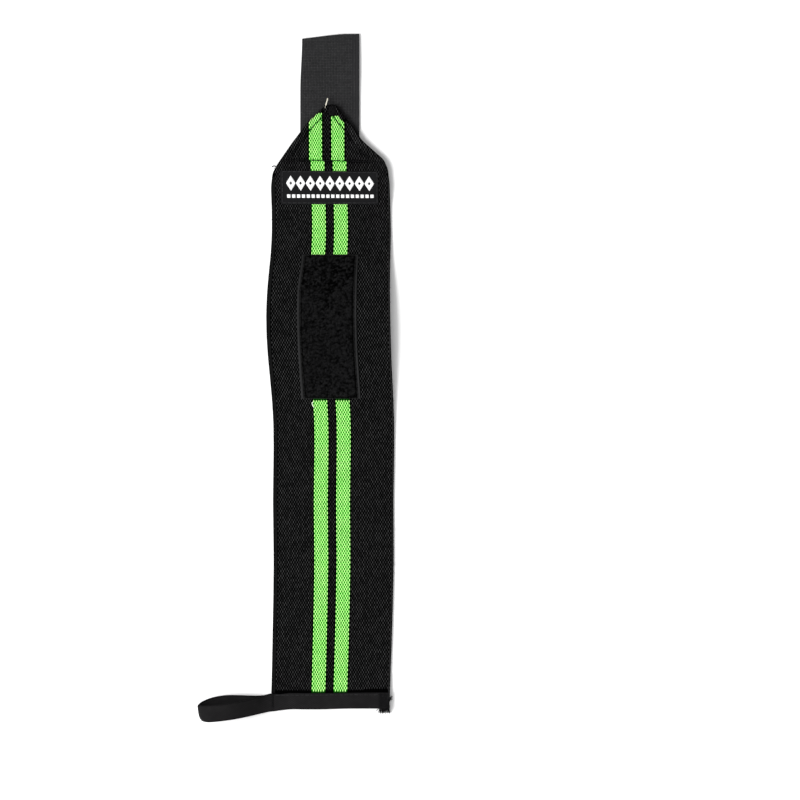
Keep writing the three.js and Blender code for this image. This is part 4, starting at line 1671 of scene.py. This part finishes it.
        # Loops in low clumps take a darker tone: painted shade in the pile's hollows, spread at random.
        tone = np.clip(1.1 - clump + self.rng.normal(0, 0.22, count), 0, 1)
        tall = full * (0.3 + 0.7 * clump + self.rng.uniform(-0.15, 0.3, count))
        shares = np.array([-0.5, -0.32, 0.0, 0.32, 0.5])
        heights = np.array([0.0, 0.75, 1.0, 0.7, 0.05])
        way = np.stack([np.cos(turn), np.sin(turn)], 1)
        line = np.empty((count, len(shares), 3))
        reach = way[:, None] * (shares[:, None] * span[:, None, None])
        line[..., :2] = foot[:, None] + reach + lean[:, None] * heights[:, None]
        line[..., 2] = PATCH_BACKING + 0.05 + tall[:, None] * heights
        radius = self.rng.uniform(0.06, 0.13, count)
        flat_along = np.gradient(line, axis=1)
        flat_along /= np.linalg.norm(flat_along, axis=2, keepdims=True)
        side = np.cross(flat_along, np.array([0.3, 0.2, 0.93]))
        side /= np.linalg.norm(side, axis=2, keepdims=True) + 1e-9
        up = np.cross(side, flat_along)
        angle = 2 * math.pi * np.arange(3) / 3
        rings = line[:, :, None] + radius[:, None, None, None] * (
            side[:, :, None] * np.cos(angle)[:, None] + up[:, :, None] * np.sin(angle)[:, None])
        x = self._x(rings[..., 0], rings[..., 1])
        points = np.stack([x, rings[..., 1], self._base(rings[..., 1]) + rings[..., 2]], -1).reshape(-1, 3)
        sections, sides = len(shares), 3
        faces = [(2, 1, 0, -1), (3 * sections - 3, 3 * sections - 2, 3 * sections - 1, -1)]
        for s in range(sections - 1):
            for j in range(sides):
                k = (j + 1) % sides
                faces.append((s * 3 + j, s * 3 + k, s * 3 + 3 + k, s * 3 + 3 + j))
        faces = np.array(faces)
        shift = (np.arange(count) * sections * sides)[:, None, None]
        many = np.where(faces >= 0, faces + shift, -1).reshape(-1, 4)
        # Loops are darker towards their feet: painted shade deep in the pile.
        rise = tall[:, None] * (0.25 + 0.75 * heights)
        share = np.broadcast_to(np.clip(rise, 0, 1)[..., None], rings.shape[:3])
        cloth = np.stack([rings[..., 0], rings[..., 1], share], -1).reshape(-1, 3)
        heap = Heap()
        heap.add(points, many, cloth, np.repeat(tone, sections * sides))
        return heap.piece("loop_patch_pile", PILE_YARN)

    def seams(self) -> Piece:
        """Makes the stitches round the patch, inside its selvedges and its cut ends.

        Returns:
            The piece.
        """
        def face(x: Points, y: Points) -> Points:
            """Height of the backing's face."""
            return self._base(y) + PATCH_BACKING

        half, low, high = PATCH_WIDTH / 2 - 1.5, PATCH_START + 0.9, PATCH_START + PATCH_LENGTH - 0.9
        heap = Heap()
        rows = np.linspace(low, high, 60)
        for side in Side:
            line = np.stack([self._x(np.full(rows.shape, side.value * half), rows), rows], 1)
            lay_seam(heap, line, face, self.rng, radius=0.15)
        for y in (low, high):
            ends = self._x(np.array([-half, half]), y)
            lay_seam(heap, [(ends[0], y), (ends[1], y)], face, self.rng, radius=0.15)
        return heap.piece("loop_patch_stitches", BLACK_THREAD)

    def build(self) -> None:
        backing = self.backing()
        pieces = [self.ground(), self.pile(), self.seams()]


@dataclass
class WovenLabel:
    """The satin label below the point, with a row of plain lozenges and a row of dashes woven in white."""

    lozenges: int = 9
    lozenge_height: float = 9.2
    border_width: float = 53.0
    border_shift: float = 0.6
    dash_rows: int = 6
    dash_pitch: float = 0.34
    dash_half: float = 0.95
    rng: Rng = field(default_factory=lambda: np.random.default_rng(SEED + 3))

    def _base(self, y: Points) -> Points:
        """Height of the label's underside, pressed a little into the band."""
        return COURSE.top(y) - 0.12

    def _askew(self, x: Points, y: Points) -> Points:
        """Places along, with the label's upper edge sewn a little askew."""
        return y - (0.45 + 0.012 * x) * (y - LABEL_START) / LABEL_HEIGHT

    def _place(self, x: Points, y: Points, height: Points) -> Points:
        """Places on the label's face."""
        across = COURSE.at(COURSE.centre, y) + LABEL_OFFSET + x
        return np.stack([across, self._askew(x, y), self._base(y) + LABEL_THICKNESS + height], -1)

    def cloth(self) -> Piece:
        """Makes the satin with its fine ribs and its folded ends."""
        half, rim = LABEL_WIDTH / 2, 0.3
        across = section(half, rim, 40)
        girth = LABEL_THICKNESS / 2 * rounding(across, half, rim)
        rows = Rows()
        for y in LABEL_START + np.arange(0, LABEL_HEIGHT + 0.01, LABEL_HEIGHT / 140):
            edge = min(y - LABEL_START, LABEL_START + LABEL_HEIGHT - y)
            squeeze = 0.45 + 0.55 * min(1.0, edge / 0.4) ** 0.5
            rib = 0.035 * math.sin(2 * math.pi * y / 0.72)
            middle = self._base(y) + LABEL_THICKNESS / 2
            high = middle + girth * squeeze + rib * (np.abs(across) < half - rim)
            ring_x, ring_z = ribbon(across, middle - girth, high)
            x = COURSE.at(COURSE.centre, y) + LABEL_OFFSET + ring_x
            rows.add((x, self._askew(ring_x, y), ring_z), (ring_x, y, 1.0))
        piece = rows.fill(Heap()).piece("woven_label_satin", LABEL_CLOTH)
        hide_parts("woven_label")
        return piece

    def motif(self) -> Piece:
        """Makes the white threads of the plain border: a row of lozenges over a row of dashes."""
        width = self.border_width / self.lozenges
        middle = LABEL_START + LABEL_HEIGHT * 0.625
        ends = []
        for i in range(self.lozenges):
            centre = self.border_shift + (i - (self.lozenges - 1) / 2) * width
            for step in np.linspace(-0.5, 0.5, 27):
                half = (0.5 - abs(step)) * width * 0.94
                hole = max(0.0, 0.13 - abs(step)) * width * 1.1
                y = middle + step * self.lozenge_height
                if half - hole < 0.2:
                    continue
                if hole > 0.1:
                    ends.append([(centre - half, y), (centre - hole, y)])
                    ends.append([(centre + hole, y), (centre + half, y)])
                else:
                    ends.append([(centre - half, y), (centre + half, y)])
        for i in range(2 * self.lozenges):
            centre = self.border_shift + (i - self.lozenges + 0.5) * width / 2
            for row in range(self.dash_rows):
                y = LABEL_START + 4.0 + row * self.dash_pitch
                ends.append([(centre - self.dash_half, y), (centre + self.dash_half, y)])
        flat = np.array(ends)
        placed = self._place(flat[..., 0], flat[..., 1], np.zeros(flat.shape[:2]))
        heap = Heap()
        stitch(heap, placed, np.tile([0.0, 0.0, 1.0], (len(placed), 1)), 0.19, self.rng, 0.35)
        return heap.piece("woven_label_border", LABEL_YARN)

    def seams(self) -> Piece:
        """Makes the stitches round the label.

        Returns:
            The piece.
        """
        def face(x: Points, y: Points) -> Points:
            """Height of the label's face."""
            return self._base(y) + LABEL_THICKNESS

        half, low, high = LABEL_WIDTH / 2 - 0.9, LABEL_START + 0.75, LABEL_START + LABEL_HEIGHT - 0.75
        shift = COURSE.at(COURSE.centre, LABEL_START) + LABEL_OFFSET
        places = (-half, low), (half, low), (half, high), (-half, high)
        corners = [(shift + x, self._askew(x, y)) for x, y in places]
        heap = Heap()
        for start, end in zip(corners, corners[1:] + corners[:1]):
            lay_seam(heap, np.linspace(start, end, 12), face, self.rng, radius=0.16, rise=0.9)
        return heap.piece("woven_label_stitches", LABEL_THREAD)

    def build(self) -> None:
        satin = self.cloth()
        pieces = [self.motif(), self.seams()]


@dataclass
class ThumbLoopTape:
    """The narrow plush tape that grips the band's cut end and forms the thumb loop."""

    junction: float = -34.8
    upper_tilt: float = 0.45
    upper_shift: float = 1.5
    lower_shift: float = 0.7
    length: float = 0.0
    puffs: int = 150
    frays: int = 170
    fray_places: tuple[float, ...] = (29.7, 31.5, 33.9, 34.6)
    rng: Rng = field(default_factory=lambda: np.random.default_rng(SEED + 4))

    def _stations(self) -> tuple[Points, Points]:
        """Centre line of the tape and its tilt, over the band, round the loop and back under it.

        Returns:
            The places and the tilt at each in radians.
        """
        half = BAND_WIDTH / 2 * BAND_COURSE[0, 2]
        middle = BAND_WIDTH * BAND_COURSE[0, 1]
        left, right = middle - half, middle + half
        over = TAPE_LIFT + BAND_THICKNESS + CLEARANCE + TAPE_THICKNESS / 2 - 0.15
        under = TAPE_THICKNESS / 2
        between = (over + under) / 2
        fullest = max(LOOP_COURSE, key=lambda row: row[3])
        lean = math.radians(fullest[4])
        belly = LOOP_OPENING / 2 * math.cos(lean) + TAPE_WIDTH / 2 * math.sin(lean) + TAPE_THICKNESS

        def on_loop(row: tuple[float, ...], run: int) -> tuple[float, ...]:
            """A place on the upper run, the tip or the lower run. The upper run faces up more squarely."""
            out, drop, rise, opened, tilt = row
            gap = run * opened * LOOP_OPENING / 2
            y = (0.5 - drop) * TAPE_WIDTH - gap * math.sin(math.radians(tilt))
            y += self.upper_shift * opened * (run > 0) + self.lower_shift * opened * (run < 0)
            tilt = math.radians(tilt * (self.upper_tilt if run > 0 else 1.0))
            return left - out * LOOP_REACH, y, between + rise * (belly - between) + gap * math.cos(tilt), tilt

        def flat(x: float, drop: float, z: float) -> tuple[float, ...]:
            """A place where the tape lies flat."""
            return x, (0.5 - drop) * TAPE_WIDTH, z, 0.0

        inside, drop = TAPE_CORNER
        corner = left + inside * LOOP_REACH
        straight = [flat(x, 0, over) for x in np.linspace(right, corner, 8)]
        back = [flat(x, 0, under) for x in np.linspace(corner, right, 8)]
        rows = np.array([
            *straight, flat(left, drop, over), *(on_loop(row, 1) for row in LOOP_COURSE),
            on_loop(LOOP_TIP, 0), *(on_loop(row, -1) for row in reversed(LOOP_COURSE)),
            flat(left, drop, under), *back,
        ])
        line = smooth_curve(rows[:, :3], 9)
        tilt = np.interp(np.linspace(0, len(rows) - 1, len(line)), np.arange(len(rows)), rows[:, 3])
        return line, tilt

    def tape(self) -> Piece:
        """Makes the tape with its soft edges, drawn down where its two runs are sewn together.

        Returns:
            The piece.
        """
        line, tilt = self._stations()
        along = np.gradient(line, axis=0)
        along /= np.linalg.norm(along, axis=1, keepdims=True)
        across = np.stack([np.zeros(len(tilt)), np.cos(tilt), np.sin(tilt)], 1)
        up = np.cross(across, along)
        up /= np.linalg.norm(up, axis=1, keepdims=True)
        half, rim = TAPE_WIDTH / 2, 0.45
        places = section(half, rim, 20)
        girth = TAPE_THICKNESS / 2 * rounding(places, half, rim)
        dip = 0.14 * np.exp(-(((np.abs(places) - (half - 1.15)) / 0.3) ** 2))
        ring_s, ring_h = ribbon(places, -girth + dip, girth - dip)
        run = np.concatenate([[0], np.cumsum(np.linalg.norm(np.diff(line, axis=0), axis=1))])
        height = ring_h + np.zeros((len(line), 1))
        pinch = 0.3 * np.exp(-(((line[:, 0] - self.junction) / 0.5) ** 2))[:, None]
        height -= np.sign(ring_h) * np.minimum(pinch, 0.8 * np.abs(ring_h))
        rings = line[:, None] + across[:, None] * ring_s[:, None] + up[:, None] * height[..., None]
        beyond = ease((line[:, 0].min() + 8.0 - line[:, 0]) / 8.0)[:, None]
        low = (0.5 - 0.5 * ring_s / half)[None]
        rings[..., 0] += beyond * (1.1 * low + 1.5 * low**5)
        rings[..., 1] += beyond * 0.5 * low**5
        rings[..., 1] -= 0.5 * low**2 * (ease((line[:, 0] + 40) / 8) * ease((14 - line[:, 0]) / 24))[:, None]
        on_band = ease((line[:, 0] - self.junction + 1) / 6) * (1.05 - 0.4 * ease((line[:, 0] + 10) / 35))
        on_top = (line[:, 2] > TAPE_LIFT)[:, None]
        rings[..., 1] -= on_band[:, None] * on_top * np.clip(ring_s / half, 0, 1) ** 2
        rings[..., 2] = np.maximum(rings[..., 2], 0.02)
        # Painted shade on the tape's rounded rims and in the crease where it is pinched at the junction; the
        # blotches are the tape's own tone.
        light = ease(((half - np.abs(ring_s)) / 0.55 - 0.4) / 0.6) * np.ones((len(line), 1))
        light = light * (1 - 2.0 * pinch) * (0.7 + 0.6 * mottle(run[:, None], ring_s[None], (2.4, 1.6)))
        cloth = np.stack(np.broadcast_arrays(ring_s[None], run[:, None], 0.1 + 0.9 * light), -1)
        heap = Heap()
        heap.loft(rings, cloth)
        piece = heap.piece("thumb_loop_tape_plush", TAPE_CLOTH)
        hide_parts("thumb_loop_tape")
        self.length = float(run[-1])
        return piece

    def seams(self) -> list[Piece]:
        """Makes the row of stitches that holds the band's cut end, and the row across the start of the loop.

        Returns:
            The two pieces.
        """
        face = TAPE_LIFT + BAND_THICKNESS + CLEARANCE + TAPE_THICKNESS - 0.15

        def level(x: Points, y: Points) -> Points:
            """Height of the tape's face."""
            return np.full(np.shape(x), face - 0.12)

        along, across = Heap(), Heap()
        lay_seam(along, [(-33.5, 8.15), (28.5, 8.4)], level, self.rng, radius=0.15)
        # The stitches across the start of the loop are black; their dark line also paints the shadow of the
        # step at the junction.
        for shift in (-0.5, -0.15):
            x = self.junction + shift
            lay_seam(across, [(x, 0.2), (x, 9.2)], level, self.rng, 1.6, 0.2, 0.2)
        rows = along.piece("thumb_loop_tape_stitches", TAPE_THREAD)
        return [rows, across.piece("thumb_loop_tape_cross_stitches", BLACK_THREAD)]

    def fray(self) -> Piece:
        """Makes the threads that hang loose from the tape's cut right end.

        Returns:
            The piece.
        """
        heap = Heap()
        face = TAPE_LIFT + BAND_THICKNESS + CLEARANCE + TAPE_THICKNESS - 0.2
        for _ in range(self.puffs):
            x, y = self.rng.uniform(28.8, 34.6), self.rng.uniform(0.3, 8.6)
            turn, reach = self.rng.uniform(0, 2 * math.pi), self.rng.uniform(0.5, 1.3)
            way = reach * np.array([math.cos(turn), 1.3 * math.sin(turn)])
            rise = face + self.rng.uniform(0.1, 0.3)
            knots = [(x - way[0], y - way[1], face), (x, y, rise), (x + way[0], y + way[1], face)]
            strand(heap, knots, self.rng.uniform(0.12, 0.2), self.rng, 0.7, 4)
        for i in range(self.frays):
            below = i % 7 != 0
            x = self.rng.choice(self.fray_places) + self.rng.normal(0, 0.3) if below else 34.5
            y = self.rng.uniform(0.2, 2.0) if below else 5.6 + self.rng.normal(0, 0.4)
            z = self.rng.uniform(0.5, 4.0)
            way = np.array([self.rng.normal(0.1, 0.25), -1.0] if below else [1.0, self.rng.normal(0.1, 0.25)])
            reach = self.rng.uniform(1.5, 4.6 - 0.5 * (x > 33)) if below else self.rng.uniform(0.8, 2.4)
            curl = self.rng.normal(0, 0.35, (2, 2))
            first, last = way * reach * 0.5 + curl[0] * 0.4, way * reach + curl[1]
            drop = self.rng.uniform(0.2, 1.0)
            bend = x + first[0], y + first[1], z * (1 - 0.4 * drop) + 0.1
            end = min(x + last[0], 37.4), max(y + last[1], -3.2), max(z * (1 - drop), 0.25)
            knots = [(x - 0.6 * way[0], y - 0.6 * way[1], z), (x, y, z), bend, end]
            strand(heap, knots, self.rng.uniform(0.12, 0.2), self.rng, 0.7, 4)
        return heap.piece("thumb_loop_tape_fray", BLACK_THREAD)

    def build(self) -> None:
        tape = self.tape()
        pieces = [*self.seams(), self.fray()]


def smooth_curve(knots: Points, steps: int) -> Points:
    """A curve through some points, by centripetal spans.

    Args:
        knots: The points, one row each.
        steps: Places in each span.

    Returns:
        Places along the curve.
    """
    ends = np.concatenate([[2 * knots[0] - knots[1]], knots, [2 * knots[-1] - knots[-2]]])
    gaps = np.maximum(np.linalg.norm(np.diff(ends, axis=0), axis=1) ** 0.5, 1e-3)
    line = []
    for i in range(len(knots) - 1):
        a, b, c, d = ends[i : i + 4]
        before, span, after = gaps[i : i + 3]
        start = ((b - a) / before - (c - a) / (before + span) + (c - b) / span) * span
        end = ((c - b) / span - (d - b) / (span + after) + (d - c) / after) * span
        for t in np.arange(steps) / steps:
            line.append(
                (2 * t**3 - 3 * t**2 + 1) * b + (t**3 - 2 * t**2 + t) * start
                + (3 * t**2 - 2 * t**3) * c + (t**3 - t**2) * end)
    line.append(knots[-1])
    return np.array(line)


@dataclass
class Studio:
    """The camera straight above, a pale table and soft light from the upper left."""

    lens: float = 120.0
    sensor: float = 36.0
    view_width: float = 0.4816
    centre: Pair = (0.0625, -0.0133)
    plane: float = 0.003
    reach: float = 4.0
    sky: float = 0.58
    lamps: tuple[tuple[str, tuple[float, float, float], float, float], ...] = (
        ("key", (-0.85, -0.1, 1.05), 0.64, 23.5), ("front", (-0.3, -0.9, 1.2), 0.9, 7.0),
    )

    def camera(self) -> None:
        """Makes the camera, looking straight down."""
        data = bpy.data.cameras.new("camera")
        data.lens, data.sensor_width = self.lens, self.sensor
        data.dof.use_dof = False
        camera = bpy.data.objects.new("camera", data)
        bpy.context.scene.collection.objects.link(camera)
        camera.location = (*self.centre, self.plane + self.view_width * self.lens / self.sensor)
        bpy.context.scene.camera = camera

    def table(self) -> None:
        """Makes the table."""
        mesh = bpy.data.meshes.new("table")
        corners = [(x * self.reach, y * self.reach, 0) for x, y in ((-1, -1), (1, -1), (1, 1), (-1, 1))]
        mesh.from_pydata(corners, [], [(0, 1, 2, 3)])
        mesh.materials.append(Table().material())
        table = bpy.data.objects.new("table", mesh)
        bpy.context.scene.collection.objects.link(table)
        table.location.z = -0.0002

    def light(self, name: str, place: Sequence[float], size: float, power: float) -> None:
        """Adds a soft square lamp that points at the middle of the wrap.

        Args:
            name: Its name.
            place: Where it hangs, in metres.
            size: Its width.
            power: Its power in watts.
        """
        data = bpy.data.lights.new(name, "AREA")
        data.shape, data.size, data.energy = "SQUARE", size, power
        lamp = bpy.data.objects.new(name, data)
        bpy.context.scene.collection.objects.link(lamp)
        lamp.location = place
        lamp.rotation_euler = (-Vector(place)).to_track_quat("-Z", "Y").to_euler()

    def build(self) -> None:
        """Makes the table, the lamps and the even light all round."""
        self.table()
        world = bpy.data.worlds.new("white_room")
        bpy.context.scene.world = world
        world.use_nodes = True
        backdrop = world.node_tree.nodes["Background"]
        backdrop.inputs["Color"].default_value = (1, 1, 1, 1)
        backdrop.inputs["Strength"].default_value = self.sky
        for lamp in self.lamps:
            self.light(*lamp)
        bpy.context.scene.view_settings.view_transform = "Standard"


def main() -> None:
    """Builds the studio and the wrap."""
    studio = Studio()
    studio.camera()
    for maker in (studio, ElasticBand(), HookStrap(), LoopPatch(), WovenLabel(), ThumbLoopTape()):
        maker.build()
        log.info("%s done", type(maker).__name__)


if __name__ == "__main__":
    main()
